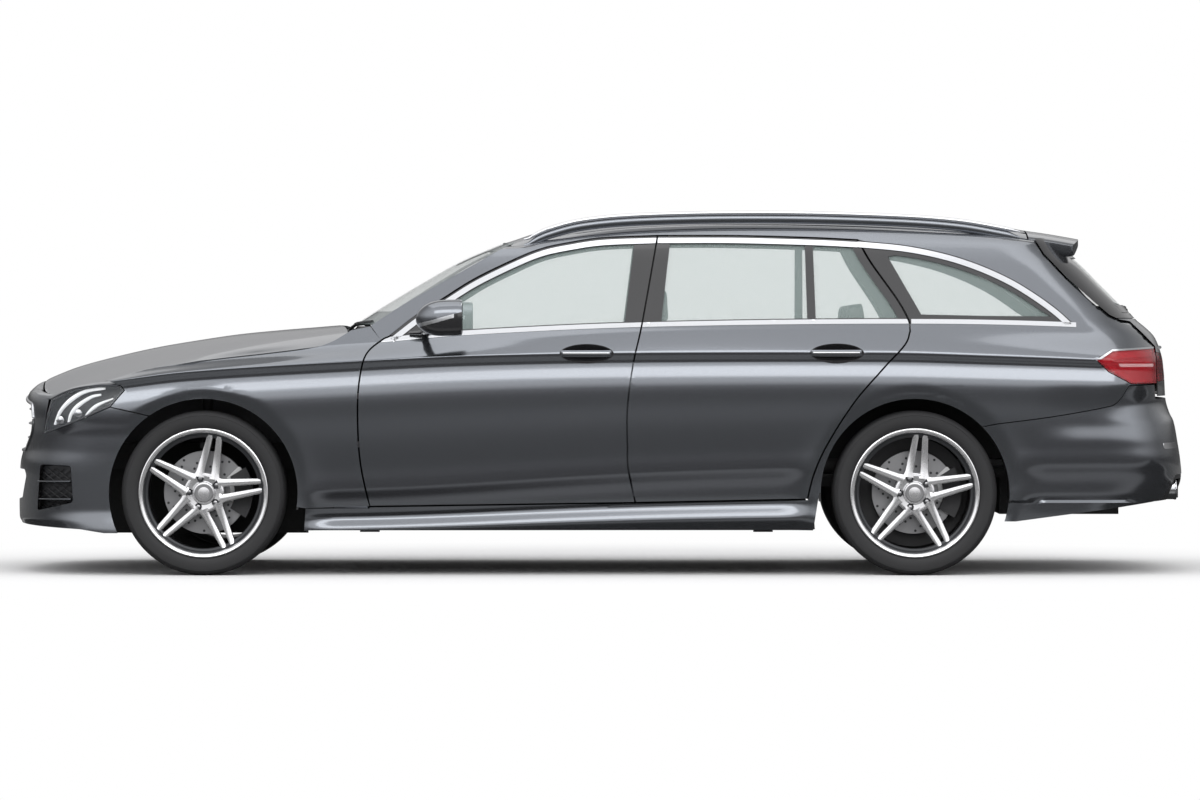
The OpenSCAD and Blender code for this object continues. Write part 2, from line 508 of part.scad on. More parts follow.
// A front strap ends in the front post, and a rear one in the middle post
mid_post = door_t + 22;
module strap(p, forward) for (z = hinge_heights) place([p[0], -p[1], z]) translate([0, 0, -12]) difference() {
  union() {
    cylinder(h = 24, r = eye_r);
    translate([-6, 0, 0]) cube([12, forward ? 97 : (p[1] - side_y(p[0], z) + mid_post + 6) * ky, 24]);
    if (forward) translate([-110, 83, 0]) cube([110, 14, 24]);
  }
  translate([0, 0, -1]) cylinder(h = 26, r = pin_r + running_gap, $fn = 32);
}
ear = 6;
module hinge_straps() color([0.2, 0.2, 0.22]) {
  both() {
    strap(front_hinge, true);
    strap(rear_hinge, false);
    place([gate_hinge[0], -450, gate_hinge[1]]) {
      rotate([90, 0, 0]) translate([0, 0, -18]) cylinder(h = 36, r = gate_pin_r, $fn = 32);
      for (s = [-18, 12]) translate([-14, s, -30]) cube([28, ear, 47 - seat_gap]);
    }
    place([hood_hinge[0], -420, hood_hinge[1]]) {
      rotate([90, 0, 0]) translate([0, 0, -18]) cylinder(h = 36, r = hood_pin_r, $fn = 32);
      for (s = [-18, 12]) translate([-8, s, -35]) {
        cube([16, ear, 41]);
        cube([52, ear, 18]);
      }
    }
  }
}

// ---- Doors ----
module notches(p, edge, low) for (z = hinge_heights)
  translate([p[0] - edge, -p[1] - low, z - 30]) cube([edge + 17, door_t + 30, 60]);
module door(line, p, x0, x1) difference() {
  union() {
    intersection() {
      side_block(x0, x1, 235, 1440, 0, panel_t);
      across() offset(delta = -shut_gap / 2) polygon(line);
    }
    intersection() {
      side_block(x0, x1, 235, 1030, 30, door_t);
      across() intersection() {
        offset(delta = -shut_gap / 2 - 18) polygon(line);
        below_belt(4);
      }
    }
  }
  children();
  notches(p, 110, eye_r + 1.2);
}
bowl_front = [-55, 916];
bowl_rear = [978, 918];
module bowl(c) difference() {
  translate([c[0], -940, c[1]]) rotate([-90, 0, 0]) scale([1, 0.36, 1]) cylinder(h = 44, r = 113, $fn = 32);
  translate([c[0] - 90, -940, c[1] - 12]) cube([180, 44, 24]);
}
module door_front() {
  door(door_front_line, front_hinge, -1010, 250) {
    across() front_window();
    bowl(bowl_front);
  }
}
module door_rear() {
  door(door_rear_line, rear_hinge, 105, 1295) {
    across() rear_window();
    bowl(bowl_rear);
  }
}
module door_front_left() color(paint) {
  body() door_front();
  door_pins(front_hinge);
}
module door_front_right() color(paint) right() {
  body() door_front();
  door_pins(front_hinge);
}
module door_rear_left() color(paint) {
  body() door_rear();
  door_pins(rear_hinge);
}
module door_rear_right() color(paint) right() {
  body() door_rear();
  door_pins(rear_hinge);
}
module glass_front() intersection() {
  side_block(-690, 152, 1000, 1400, glass_depth, glass_depth + glass_t);
  across() offset(delta = -seat_gap) front_window();
}
module glass_rear() intersection() {
  side_block(236, 1180, 1000, 1400, glass_depth, glass_depth + glass_t);
  across() offset(delta = -seat_gap) rear_window();
}
module glass_front_left() color(tint) body() glass_front();
module glass_front_right() color(tint) body() right() glass_front();
module glass_rear_left() color(tint) body() glass_rear();
module glass_rear_right() color(tint) body() right() glass_rear();
module side_mirror() {
  hull() for (p = [[-735, -990, 1060, 22], [-735, -1075, 1055, 22], [-600, -985, 1105, 34], [-600, -1085, 1100, 34],
                   [-600, -985, 1015, 34], [-600, -1080, 1020, 30]])
    translate([p[0], p[1], p[2]]) sphere(p[3], $fn = 13);
  difference() {
    hull() {
      translate([-700, -985, 1015]) sphere(20, $fn = 12);
      translate([-735, -828, 1006]) sphere(14, $fn = 12);
    }
    side_block(-900, -500, 930, 1200, -seat_gap, 200);
  }
}
module mirror_left() color(paint) body() side_mirror();
module mirror_right() color(paint) body() right() side_mirror();

// ---- Hood and tailgate ----
hood_half = [[-2362, 0], [-2357, 200], [-2335, 400], [-2282, 590], [-2191, 700], [-2060, 790], [-1950, 830],
             [-1700, 850], [-1300, 842], [-1205, 834], [-1150, 812], [-1110, 760], [-1070, 680], [-1052, 600],
             [-1062, 450], [-1085, 250], [-1105, 100], [-1111, 0]];
module hood_outline() offset(delta = -shut_gap / 2) polygon(concat([for (p = hood_half) [p[0], -p[1]]],
  [for (i = [len(hood_half) - 1:-1:0]) hood_half[i]]));
module hood_block(t0, t1) {
  cols = [for (i = [0:14]) lerp(-2366, -1040, i / 14)];
  rows = [-860, -800, -700, -590, -450, -300, -150, 0, 150, 300, 450, 590, 700, 800, 860];
  grid_solid([for (y = rows) [for (x = cols) [x, y, hood_z(x, y) - t0]]],
             [for (y = rows) [for (x = cols) [x, y, hood_z(x, y) - t1]]]);
}
module hood() color(paint) {
  body() difference() {
    intersection() {
      hood_block(0, 30);
      translate([0, 0, 600]) linear_extrude(600) hood_outline();
    }
    for (y = [-450, 390]) translate([-1110, y, 900]) cube([100, 60, 110]);
  }
  both() place([hood_hinge[0], -420, hood_hinge[1]]) difference() {
    union() {
      rotate([90, 0, 0]) translate([0, 0, -7]) cylinder(h = 14, r = 9);
      translate([-70, -7, -14]) cube([66, 14, 12]);
    }
    rotate([90, 0, 0]) translate([0, 0, -10]) cylinder(h = 20, r = hood_pin_r + running_gap, $fn = 32);
  }
}
gate_rows = [735, 790, 841, 900, 958, 1026, 1055, 1114, 1202, 1290, 1340, 1400];
module gate_side(d = 0) offset(delta = -d) polygon(concat(gate_shut, [[2316, 735], [2600, 735], [2600, 1500], [1790, 1500]]));
module rear_glass_shape() offset(r = 30, $fn = 16) offset(delta = -30)
  polygon([[-640, 1085], [640, 1085], [600, 1150], [500, 1350], [-500, 1350], [-600, 1150]]);
module astern(x0 = 1750, x1 = 2500) translate([x0, 0, 0]) rotate([90, 0, 90]) linear_extrude(x1 - x0) children();
module tailgate() color(paint) {
  body() {
    difference() {
      union() {
        intersection() {
          tail_shell(gate_rows, 0, panel_t);
          across(-1000, 1000) gate_side(shut_gap / 2);
        }
        intersection() {
          spoiler();
          across(-1000, 1000) gate_side(shut_gap / 2);
        }
      }
      astern() rear_glass_shape();
    }
  }
  both() place([gate_hinge[0], -450, gate_hinge[1]]) difference() {
    union() {
      rotate([90, 0, 0]) translate([0, 0, -7]) cylinder(h = 14, r = 10);
      translate([-7, -7, -60]) cube([14, 14, 60]);
      translate([-7, -7, -66]) cube([90, 14, 12]);
      translate([68, -7, -60]) cube([14, 14, 62]);
    }
    rotate([90, 0, 0]) translate([0, 0, -10]) cylinder(h = 20, r = gate_pin_r + running_gap, $fn = 32);
  }
}
module spoiler() {
  cols = [1793.5, 1850, 1915, 1975, 2028];
  rows = [for (i = [-6:6]) i * 545 / 6];
  thick = [[1793, 14], [1850, 40], [1915, 60], [1975, 52], [2028, 16]];
  grid_solid([for (y = rows) [for (x = cols) [x - 45 * (y / 545) ^ 4 * (x > 1800 ? 1 : 0), y, roof_z(x, y)]]],
             [for (y = rows) [for (x = cols) [x + (x < 1800 ? 4 : 0) - 45 * (y / 545) ^ 4 * (x > 1800 ? 1 : 0), y, roof_z(x, y) - curve(x, thick)]]]);
}
module tailgate_glass() color(tint) body() intersection() {
  tail_shell([1060, 1114, 1202, 1290, 1340, 1400], glass_depth, glass_depth + glass_t);
  astern() offset(delta = -seat_gap) rear_glass_shape();
}

// ---- Running gear ----
module front_suspension() color([0.22, 0.22, 0.24]) place([axle_front, 0, 0]) {
  translate([-60, -460 * ky, 170]) cube([120, 920 * ky, 60]);
  both() {
    translate([-25, -steer_y - 24, 178]) cube([50, steer_y + 24 - 440 * ky, 26]);
    translate([0, -steer_y, 190]) cylinder(h = 70, r = kingpin_r, $fn = 32);
    translate([0, -steer_y, 470]) cylinder(h = 60, r = kingpin_r, $fn = 32);
    translate([-25, -steer_y - 24, 522]) cube([50, 138, 24]);
    translate([0, -595, 540]) cylinder(h = 202, r = 22, $fn = 32);
    translate([-60, -635, 740]) cube([120, 90, 20]);
    translate([-25, -576, 522]) cube([50, 576 - 460 * ky - seat_gap, 24]);
    translate([-40, -450 * ky, 220]) cube([80, 40 * ky, 430 * kz - seat_gap - 220]);
  }
}
module knuckle() {
  difference() {
    union() {
      translate([0, -steer_y, 215]) cylinder(h = 50, r = 24, $fn = 32);
      translate([0, -steer_y, 465]) cylinder(h = 50, r = 24, $fn = 32);
      translate([-18, -steer_y - 18, 262]) cube([36, 30, 206]);
      translate([-45, -steer_y - 24, 295]) cube([90, 26, 90]);
      translate([0, -steer_y, tyre_r]) rotate([90, 0, 0]) cylinder(h = 120, r = spindle_r, $fn = 32);
      translate([40, -steer_y - 20, 300]) cube([100, 16, 80]);
      caliper();
    }
    for (z = [214, 464]) translate([0, -steer_y, z]) cylinder(h = 60, r = kingpin_r + running_gap, $fn = 32);
  }
}
// Brake caliper around the disc, behind the axle
disc_y = 745;
module caliper() translate([0, -disc_y, tyre_r]) rotate([90, 0, 0]) rotate([0, 0, -32]) difference() {
  rotate_extrude(angle = 64, $fn = 48) translate([disc_r - 50, -45]) square([75, 90]);
  translate([0, 0, -16]) cylinder(h = 32, r = disc_r + 8, $fn = 48);
}
module knuckle_left() color([0.3, 0.3, 0.32]) place([axle_front, 0, 0]) knuckle();
module knuckle_right() color([0.3, 0.3, 0.32]) place([axle_front, 0, 0]) right() knuckle();
module rear_axle() color([0.22, 0.22, 0.24]) place([axle_rear, 0, 0]) {
  translate([0, steer_y + 5, tyre_r]) rotate([90, 0, 0]) cylinder(h = 2 * steer_y + 10, r = 18);
  translate([-110, -150, 250]) cube([220, 300, 400 * kz - seat_gap - 250]);
  both() {
    translate([0, -steer_y, tyre_r]) rotate([90, 0, 0]) cylinder(h = 120, r = spindle_r, $fn = 32);
    translate([0, -steer_y - 20, 300]) cube([140, 16, 80]);
    caliper();
  }
}
module wheel_liners() color(black) body() both() for (x = [axle_front, axle_rear]) difference() {
  across(-900, -600) translate([x, tyre_r]) difference() {
    circle(arch_r + (x < 0 ? 52 : 18), $fn = 40);
    circle(arch_r + (x < 0 ? 44 : 10), $fn = 40);
    translate([-600, -600]) square([1200, 575]);
  }
  outside(x < 0 ? skin_t + seat_gap : panel_t + 1, x - 480, x + 480, 150, 1030);
  if (x < 0) nose_shell(-5, skin_t + seat_gap);
}
// Left front tyre and rim, turned about the axle
module tyre() rotate([90, 0, 0]) rotate_extrude($fn = 56) polygon([
  [rim_r + 0.2, -tyre_w / 2 + 14], [rim_r + 30, -tyre_w / 2], [tyre_r - 34, -tyre_w / 2 + 4], [tyre_r - 8, -tyre_w / 2 + 18],
  [tyre_r, -tyre_w / 2 + 44], [tyre_r, tyre_w / 2 - 44], [tyre_r - 8, tyre_w / 2 - 18], [tyre_r - 34, tyre_w / 2 - 4],
  [rim_r + 30, tyre_w / 2], [rim_r + 0.2, tyre_w / 2 - 14]]);
module rim() {
  rotate([90, 0, 0]) rotate_extrude($fn = 56) polygon([
    [rim_r, -tyre_w / 2 + 12], [rim_r, tyre_w / 2 - 12], [rim_r - 14, tyre_w / 2 - 12], [rim_r - 26, tyre_w / 2 - 40],
    [rim_r - 26, -tyre_w / 2 + 40], [rim_r - 14, -tyre_w / 2 + 12]]);
  difference() {
    union() {
      rotate([90, 0, 0]) translate([0, 0, 20]) cylinder(h = 70, r = 72, $fn = 40);
      for (i = [0:4]) rotate([0, 11 + i * 72, 0]) for (s = [-1, 1]) rotate([0, -s * 4.5, 0])
        translate([s * 36 - 9, -tyre_w / 2 + 44, 50]) cube([18, 30, rim_r - 63]);
      translate([0, 60, 0]) rotate([90, 0, 0]) cylinder(h = 90, r = 60, $fn = 40);
      translate([0, track_half - disc_y + 11, 0]) rotate([90, 0, 0]) cylinder(h = 22, r = disc_r, $fn = 48);
    }
    rotate([90, 0, 0]) translate([0, 0, -70]) cylinder(h = 92, r = spindle_r + running_gap, $fn = 32);
  }
}
module at_wheel(x) place([x, 0, 0]) translate([0, -track_half, tyre_r]) children();
module tyre_front_left() color([0.07, 0.07, 0.07]) at_wheel(axle_front) tyre();
module tyre_front_right() color([0.07, 0.07, 0.07]) right() at_wheel(axle_front) tyre();
module tyre_rear_left() color([0.07, 0.07, 0.07]) at_wheel(axle_rear) tyre();
module tyre_rear_right() color([0.07, 0.07, 0.07]) right() at_wheel(axle_rear) tyre();
module rim_front_left() color(bright) at_wheel(axle_front) rim();
module rim_front_right() color(bright) right() at_wheel(axle_front) rim();
module rim_rear_left() color(bright) at_wheel(axle_rear) rim();
module rim_rear_right() color(bright) right() at_wheel(axle_rear) rim();
wheel_hub = [-520, -370, 850];
wheel_tilt = 24;
column_pin_r = 9;
module steering_wheel() color([0.1, 0.1, 0.11]) place(wheel_hub) rotate([0, 90 - wheel_tilt, 0]) {
  rotate_extrude($fn = 40) translate([178, 0]) circle(13, $fn = 14);
  cylinder(h = 34, r = 60, center = true, $fn = 32);
  for (a = [0, 90, 180]) rotate([0, 0, a + 90]) translate([40, -16, -6]) cube([132, 32, 12]);
  difference() {
    translate([0, 0, -70]) cylinder(h = 60, r = 20);
    translate([0, 0, -71]) cylinder(h = 42, r = column_pin_r + running_gap, $fn = 32);
  }
}

floor_pan();
side_frame_left();
side_frame_right();
roof_panel();
roof_rails();
windshield();
quarter_windows();
cowl();
front_fenders();
front_bumper();
front_grille();
headlamps();
tail_lamps();
rear_bumper();
exhaust();
wheel_liners();
dashboard();
front_seats();
rear_seat();
engine_block();
front_suspension();
rear_axle();
hinge_straps();
hood();
tailgate();
tailgate_glass();
door_front_left();
door_front_right();
door_rear_left();
door_rear_right();
glass_front_left();
glass_front_right();
glass_rear_left();
glass_rear_right();
mirror_left();
mirror_right();
knuckle_left();
knuckle_right();
tyre_front_left();
tyre_front_right();
tyre_rear_left();
tyre_rear_right();
rim_front_left();
rim_front_right();
rim_rear_left();
rim_rear_right();
steering_wheel();
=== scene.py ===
# %% [markdown]
# # A station wagon, modelled piece by piece
# This file builds the looks of a long-roofed family car around its CAD frame. The frame holds the exact
# pieces, joints and sizes. Here each visible piece gets its real surface, edges and finish.

# %% Load the frame
import math

import bmesh
import bpy
import numpy as np
from mathutils import Matrix, Vector


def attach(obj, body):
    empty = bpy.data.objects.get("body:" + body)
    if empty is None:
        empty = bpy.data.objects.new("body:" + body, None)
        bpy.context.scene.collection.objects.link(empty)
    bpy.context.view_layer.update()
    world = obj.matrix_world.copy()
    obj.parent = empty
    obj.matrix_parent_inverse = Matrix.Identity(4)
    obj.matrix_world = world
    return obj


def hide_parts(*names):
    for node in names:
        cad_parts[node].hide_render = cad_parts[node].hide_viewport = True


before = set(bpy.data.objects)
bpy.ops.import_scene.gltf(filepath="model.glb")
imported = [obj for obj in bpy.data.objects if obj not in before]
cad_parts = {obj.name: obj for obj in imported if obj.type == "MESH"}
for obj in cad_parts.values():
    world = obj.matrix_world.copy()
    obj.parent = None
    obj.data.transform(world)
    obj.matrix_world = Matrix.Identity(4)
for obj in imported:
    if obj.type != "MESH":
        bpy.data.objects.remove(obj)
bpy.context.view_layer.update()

# %% [markdown]
# ## The camera and the room
# The car is seen square from its left side, from far away, so that near and far wheels are almost the same
# size. A long lens does that. The floor is a plain pale sheet to the camera, but what the paint reflects of it
# is painted: a dark painted shadow beside the car, then a grey band. Overhead light is broad and soft, and the
# horizon is darker than the sky; with the floor's dark painted reflection this gives the doors their calm dark
# middle.

# %% Camera
eye = bpy.data.objects.new("camera", bpy.data.cameras.new("camera"))
eye.location = (0.0, -26.5, 1.0)
eye.rotation_euler = (math.radians(90), 0, 0)
eye.data.lens = 186
eye.data.sensor_width = 36
eye.data.shift_y = -0.0556
eye.data.clip_end = 200
bpy.context.scene.collection.objects.link(eye)
bpy.context.scene.camera = eye
bpy.context.scene.view_settings.view_transform = "Standard"
print("camera at", tuple(eye.location))

# %% Node helpers
def node(tree, kind, at=None, **values):
    made = tree.nodes.new(kind)
    for key, value in values.items():
        if hasattr(made, key):
            setattr(made, key, value)
        else:
            made.inputs[key.replace("_", " ")].default_value = value
    return made


def wire(tree, a, b):
    tree.links.new(a, b)


def wires(tree, *joins):
    """Several links, each given as giver, its output, taker, its input."""
    for giver, way_out, taker, way_in in joins:
        wire(tree, giver.outputs[way_out], taker.inputs[way_in])


# %% Sky and floor
world = bpy.data.worlds.new("studio")
world.use_nodes = True
bpy.context.scene.world = world
tree = world.node_tree
tree.nodes.clear()
out = node(tree, "ShaderNodeOutputWorld")
mix = node(tree, "ShaderNodeMixShader")
plain = node(tree, "ShaderNodeBackground", Color=(1, 1, 1, 1), Strength=1.0)
lit = node(tree, "ShaderNodeBackground", Strength=1.0)
path = node(tree, "ShaderNodeLightPath")
place = node(tree, "ShaderNodeTexCoord")
split = node(tree, "ShaderNodeSeparateXYZ")
ramp = node(tree, "ShaderNodeValToRGB")
for spot, grey in ((0.0, 0.17), (0.04, 0.17), (0.08, 0.5), (0.16, 0.95), (0.50, 0.95), (1.0, 0.85)):
    stop = ramp.color_ramp.elements.new(spot) if 0 < spot < 1 else ramp.color_ramp.elements[-1 if spot else 0]
    stop.color = (grey, grey, grey * 1.01, 1)
wires(tree, (place, "Generated", split, 0), (split, "Z", ramp, 0), (ramp, 0, lit, "Color"))
lean = node(tree, "ShaderNodeMapRange")
for title, value in (("From Min", -0.5), ("From Max", 0.4), ("To Min", 1.55), ("To Max", 0.5)):
    lean.inputs[title].default_value = value
wire(tree, split.outputs["Y"], lean.inputs["Value"])
wire(tree, lean.outputs["Result"], lit.inputs["Strength"])
bright_rays = node(tree, "ShaderNodeMath", operation="MAXIMUM")
wires(tree, (path, "Is Camera Ray", bright_rays, 0), (path, "Is Transmission Ray", bright_rays, 1),
      (bright_rays, 0, mix, 0), (lit, 0, mix, 1), (plain, 0, mix, 2), (mix, 0, out, 0))


def lamp(name, kind, place, turn, power, size, size_y=None):
    light = bpy.data.lights.new(name, kind)
    light.energy = power
    light.shape = "RECTANGLE"
    light.size = size
    light.size_y = size_y or size
    thing = bpy.data.objects.new(name, light)
    thing.location = place
    thing.rotation_euler = [math.radians(a) for a in turn]
    bpy.context.scene.collection.objects.link(thing)
    return thing


lamp("overhead", "AREA", (0, 0, 6.5), (0, 0, 0), 190, 9, 6)
lamp("side_soft", "AREA", (0, -9, 5.5), (58, 0, 0), 260, 12, 3)
lamp("far_soft", "AREA", (0, 9, 5.5), (-58, 0, 0), 40, 12, 3)
bm = bmesh.new()
bmesh.ops.create_grid(bm, x_segments=2, y_segments=2, size=60)
floor_mesh = bpy.data.meshes.new("floor")
bm.to_mesh(floor_mesh)
bm.free()
floor = bpy.data.objects.new("floor", floor_mesh)
bpy.context.scene.collection.objects.link(floor)
pale = bpy.data.materials.new("pale_floor")
pale.use_nodes = True
tree = pale.node_tree
tree.nodes.clear()
out = node(tree, "ShaderNodeOutputMaterial")
base = node(tree, "ShaderNodeBsdfPrincipled", Base_Color=(0.80, 0.80, 0.80, 1), Roughness=0.9)
base.inputs["Specular IOR Level"].default_value = 0.1
white = node(tree, "ShaderNodeEmission", Color=(1, 1, 1, 1), Strength=1.0)
path = node(tree, "ShaderNodeLightPath")
blend = node(tree, "ShaderNodeMixShader")
place = node(tree, "ShaderNodeTexCoord")
split = node(tree, "ShaderNodeSeparateXYZ")
sx = node(tree, "ShaderNodeMath", operation="MULTIPLY")
sx.inputs[1].default_value = 1 / 3.1
sy = node(tree, "ShaderNodeMath", operation="MULTIPLY")
sy.inputs[1].default_value = 1 / 2.6
flat = node(tree, "ShaderNodeCombineXYZ")
far = node(tree, "ShaderNodeVectorMath", operation="LENGTH")
fade = node(tree, "ShaderNodeMapRange")
fade.interpolation_type = "SMOOTHSTEP"
fade.inputs["From Min"].default_value = 0.7
fade.inputs["From Max"].default_value = 1.35
both = node(tree, "ShaderNodeMath", operation="MULTIPLY")
# For glossy rays the floor is painted, not lit: dark painted shadow under and beside the car, a grey band of
# painted reflection about 1.4 to 1.7 m out, and darker further off
wide = node(tree, "ShaderNodeMath", operation="ABSOLUTE")
band = node(tree, "ShaderNodeValToRGB")
reach = node(tree, "ShaderNodeMath", operation="MULTIPLY")
reach.inputs[1].default_value = 0.1
for spot, grey in ((0.0, 0.03), (0.115, 0.04), (0.135, 0.34), (0.165, 0.34), (0.20, 0.13), (1.0, 0.16)):
    stop = band.color_ramp.elements.new(spot) if 0 < spot < 1 else band.color_ramp.elements[-1 if spot else 0]
    stop.color = (grey, grey, grey, 1)
painted_floor_reflection = node(tree, "ShaderNodeEmission", Strength=1.0)
seen = node(tree, "ShaderNodeMixShader")
wires(tree, (split, "Y", wide, 0), (wide, 0, reach, 0), (reach, 0, band, 0), (band, 0, painted_floor_reflection, "Color"),
      (path, "Is Glossy Ray", seen, 0), (blend, 0, seen, 1), (painted_floor_reflection, 0, seen, 2),
      (place, "Object", split, 0), (split, "X", sx, 0), (split, "Y", sy, 0), (sx, 0, flat, 0),
      (sy, 0, flat, 1), (flat, 0, far, 0), (far, "Value", fade, "Value"), (fade, "Result", both, 0),
      (path, "Is Camera Ray", both, 1), (both, 0, blend, 0), (base, 0, blend, 1), (white, 0, blend, 2),
      (seen, 0, out, 0))
floor_mesh.materials.append(pale)
print("floor and lamps ready")

# %% [markdown]
# ## Finishes
# Most surfaces of a car are one colour, broken up by small things: metal flakes under the lacquer, grain in
# plastic and leather with painted shade in its valleys, a little dust low down. Each of these effects is one
# shared node group with its own numbers per finish. The shader itself stays in each material, with its plain
# numbers on its own sockets.

# %% Shared node groups
def new_group(name, inputs, outputs):
    group = bpy.data.node_groups.new(name, "ShaderNodeTree")
    for title, kind, value in inputs:
        socket = group.interface.new_socket(title, in_out="INPUT", socket_type=kind)
        if value is not None:
            socket.default_value = value
    for title, kind in outputs:
        group.interface.new_socket(title, in_out="OUTPUT", socket_type=kind)
    return group, node(group, "NodeGroupInput"), node(group, "NodeGroupOutput")


COLOR, NUMBER, ARROW = "NodeSocketColor", "NodeSocketFloat", "NodeSocketVector"

# Slow variation of colour and roughness, with a fine grain in the surface
grain, gi, go = new_group("surface_grain", [("Color", COLOR, (0.5, 0.5, 0.5, 1)),
                                            ("Second Color", COLOR, (0.4, 0.4, 0.4, 1)),
                                            ("Roughness", NUMBER, 0.5), ("Spread", NUMBER, 0.08),
                                            ("Patch Scale", NUMBER, 6.0), ("Grain Scale", NUMBER, 900.0),
                                            ("Grain Depth", NUMBER, 0.1)],
                          [("Color", COLOR), ("Roughness", NUMBER), ("Normal", ARROW)])
place = node(grain, "ShaderNodeTexCoord")
patch = node(grain, "ShaderNodeTexNoise", Detail=3.0)
fine = node(grain, "ShaderNodeTexNoise", Detail=2.0)
tint = node(grain, "ShaderNodeMix", data_type="RGBA")
around = node(grain, "ShaderNodeMath", operation="MULTIPLY_ADD")
centre = node(grain, "ShaderNodeMath", operation="SUBTRACT")
centre.inputs[1].default_value = 0.5
bump = node(grain, "ShaderNodeBump", Distance=0.0005)
for tex, scale in ((patch, "Patch Scale"), (fine, "Grain Scale")):
    wire(grain, place.outputs["Object"], tex.inputs["Vector"])
    wire(grain, gi.outputs[scale], tex.inputs["Scale"])
wires(grain, (patch, 0, tint, 0), (gi, "Color", tint, 6), (gi, "Second Color", tint, 7),
      (patch, 0, centre, 0), (centre, 0, around, 0), (gi, "Spread", around, 1), (gi, "Roughness", around, 2),
      (fine, 0, bump, "Height"), (gi, "Grain Depth", bump, "Strength"), (tint, 2, go, "Color"),
      (around, 0, go, "Roughness"), (bump, 0, go, "Normal"))

# Small cells with painted shade in their valleys, for leather and moulded plastic
pebble, pi_, po = new_group("pebble_grain_valley_shade", [("Color", COLOR, (0.1, 0.1, 0.1, 1)),
                                             ("Valley Shade Color", COLOR, (0.05, 0.05, 0.05, 1)),
                                             ("Scale", NUMBER, 300.0), ("Depth", NUMBER, 0.3)],
                            [("Color", COLOR), ("Normal", ARROW), ("Mask", NUMBER)])
place = node(pebble, "ShaderNodeTexCoord")
cells = node(pebble, "ShaderNodeTexVoronoi", feature="DISTANCE_TO_EDGE")
edge = node(pebble, "ShaderNodeMapRange")
edge.inputs["From Max"].default_value = 0.25
tint = node(pebble, "ShaderNodeMix", data_type="RGBA")
bump = node(pebble, "ShaderNodeBump", Distance=0.0008)
wires(pebble, (place, "Object", cells, "Vector"), (pi_, "Scale", cells, "Scale"),
      (cells, "Distance", edge, "Value"), (edge, 0, tint, 0), (pi_, "Valley Shade Color", tint, 6),
      (pi_, "Color", tint, 7), (edge, 0, bump, "Height"), (pi_, "Depth", bump, "Strength"),
      (tint, 2, po, "Color"), (bump, 0, po, "Normal"), (edge, 0, po, "Mask"))

# Metal flakes under lacquer, with light road dust close to the ground
flake, fi, fo = new_group("metal_flake", [("Color", COLOR, (0.1, 0.1, 0.1, 1)),
                                          ("Flake Color", COLOR, (0.3, 0.3, 0.3, 1)),
                                          ("Scale", NUMBER, 1600.0), ("Roughness", NUMBER, 0.35),
                                          ("Dust", NUMBER, 0.1)],
                          [("Color", COLOR), ("Roughness", NUMBER), ("Normal", ARROW)])
place = node(flake, "ShaderNodeTexCoord")
cells = node(flake, "ShaderNodeTexVoronoi")
value = node(flake, "ShaderNodeSeparateColor")
pick = node(flake, "ShaderNodeMapRange")
pick.inputs["From Min"].default_value = 0.45
tint = node(flake, "ShaderNodeMix", data_type="RGBA")
high = node(flake, "ShaderNodeSeparateXYZ")
low = node(flake, "ShaderNodeMapRange")
low.inputs["From Min"].default_value = 0.45
low.inputs["From Max"].default_value = 0.12
puff = node(flake, "ShaderNodeTexNoise", Scale=9.0, Detail=4.0)
dust = node(flake, "ShaderNodeMath", operation="MULTIPLY")
much = node(flake, "ShaderNodeMath", operation="MULTIPLY")
dirty = node(flake, "ShaderNodeMix", data_type="RGBA")
dirty.inputs[7].default_value = (0.22, 0.21, 0.2, 1)
dull = node(flake, "ShaderNodeMath", operation="MULTIPLY_ADD")
dull.inputs[1].default_value = 0.4
bump = node(flake, "ShaderNodeBump", Strength=0.02, Distance=0.0002)
wires(flake, (place, "Object", cells, "Vector"), (fi, "Scale", cells, "Scale"), (cells, "Color", value, 0),
      (value, 0, pick, "Value"), (pick, 0, tint, 0), (fi, "Color", tint, 6), (fi, "Flake Color", tint, 7),
      (place, "Object", high, 0), (high, "Z", low, "Value"), (place, "Object", puff, "Vector"),
      (low, 0, dust, 0), (puff, 0, dust, 1), (dust, 0, much, 0), (fi, "Dust", much, 1), (much, 0, dirty, 0),
      (tint, 2, dirty, 6), (much, 0, dull, 0), (fi, "Roughness", dull, 2), (value, 1, bump, "Height"),
      (dirty, 2, fo, "Color"), (dull, 0, fo, "Roughness"), (bump, 0, fo, "Normal"))
print("node groups", [g.name for g in (grain, pebble, flake)])


# %% Material makers
def shade(c, k):
    return tuple(min(1.0, v * k) for v in c[:3]) + (1,)


def start_material(name, group, **plain):
    made = bpy.data.materials.new(name)
    made.use_nodes = True
    tree = made.node_tree
    tree.nodes.clear()
    out = node(tree, "ShaderNodeOutputMaterial")
    shader = node(tree, "ShaderNodeBsdfPrincipled")
    for key, number in plain.items():
        shader.inputs[key.replace("_", " ")].default_value = number
    effect = node(tree, "ShaderNodeGroup")
    effect.node_tree = group
    wires(tree, (effect, "Color", shader, "Base Color"), (effect, "Normal", shader, "Normal"),
          (shader, 0, out, 0))
    made.diffuse_color = (0.3, 0.3, 0.3, 1)
    return made, tree, shader, effect


def grained(name, color, rough, second=0.8, spread=0.08, patch=6.0, size=900.0, depth=0.1, **plain):
    made, tree, shader, effect = start_material(name, grain, **plain)
    effect.inputs["Color"].default_value = color
    effect.inputs["Second Color"].default_value = shade(color, second)
    for key, number in (("Roughness", rough), ("Spread", spread), ("Patch Scale", patch),
                        ("Grain Scale", size), ("Grain Depth", depth)):
        effect.inputs[key].default_value = number
    wire(tree, effect.outputs["Roughness"], shader.inputs["Roughness"])
    return made


def pebbled(name, color, rough, scale, depth, valley_shade=0.5, **plain):
    made, tree, shader, effect = start_material(name, pebble, Roughness=rough, **plain)
    effect.inputs["Color"].default_value = color
    effect.inputs["Valley Shade Color"].default_value = shade(color, valley_shade)
    effect.inputs["Scale"].default_value = scale
    effect.inputs["Depth"].default_value = depth
    return made


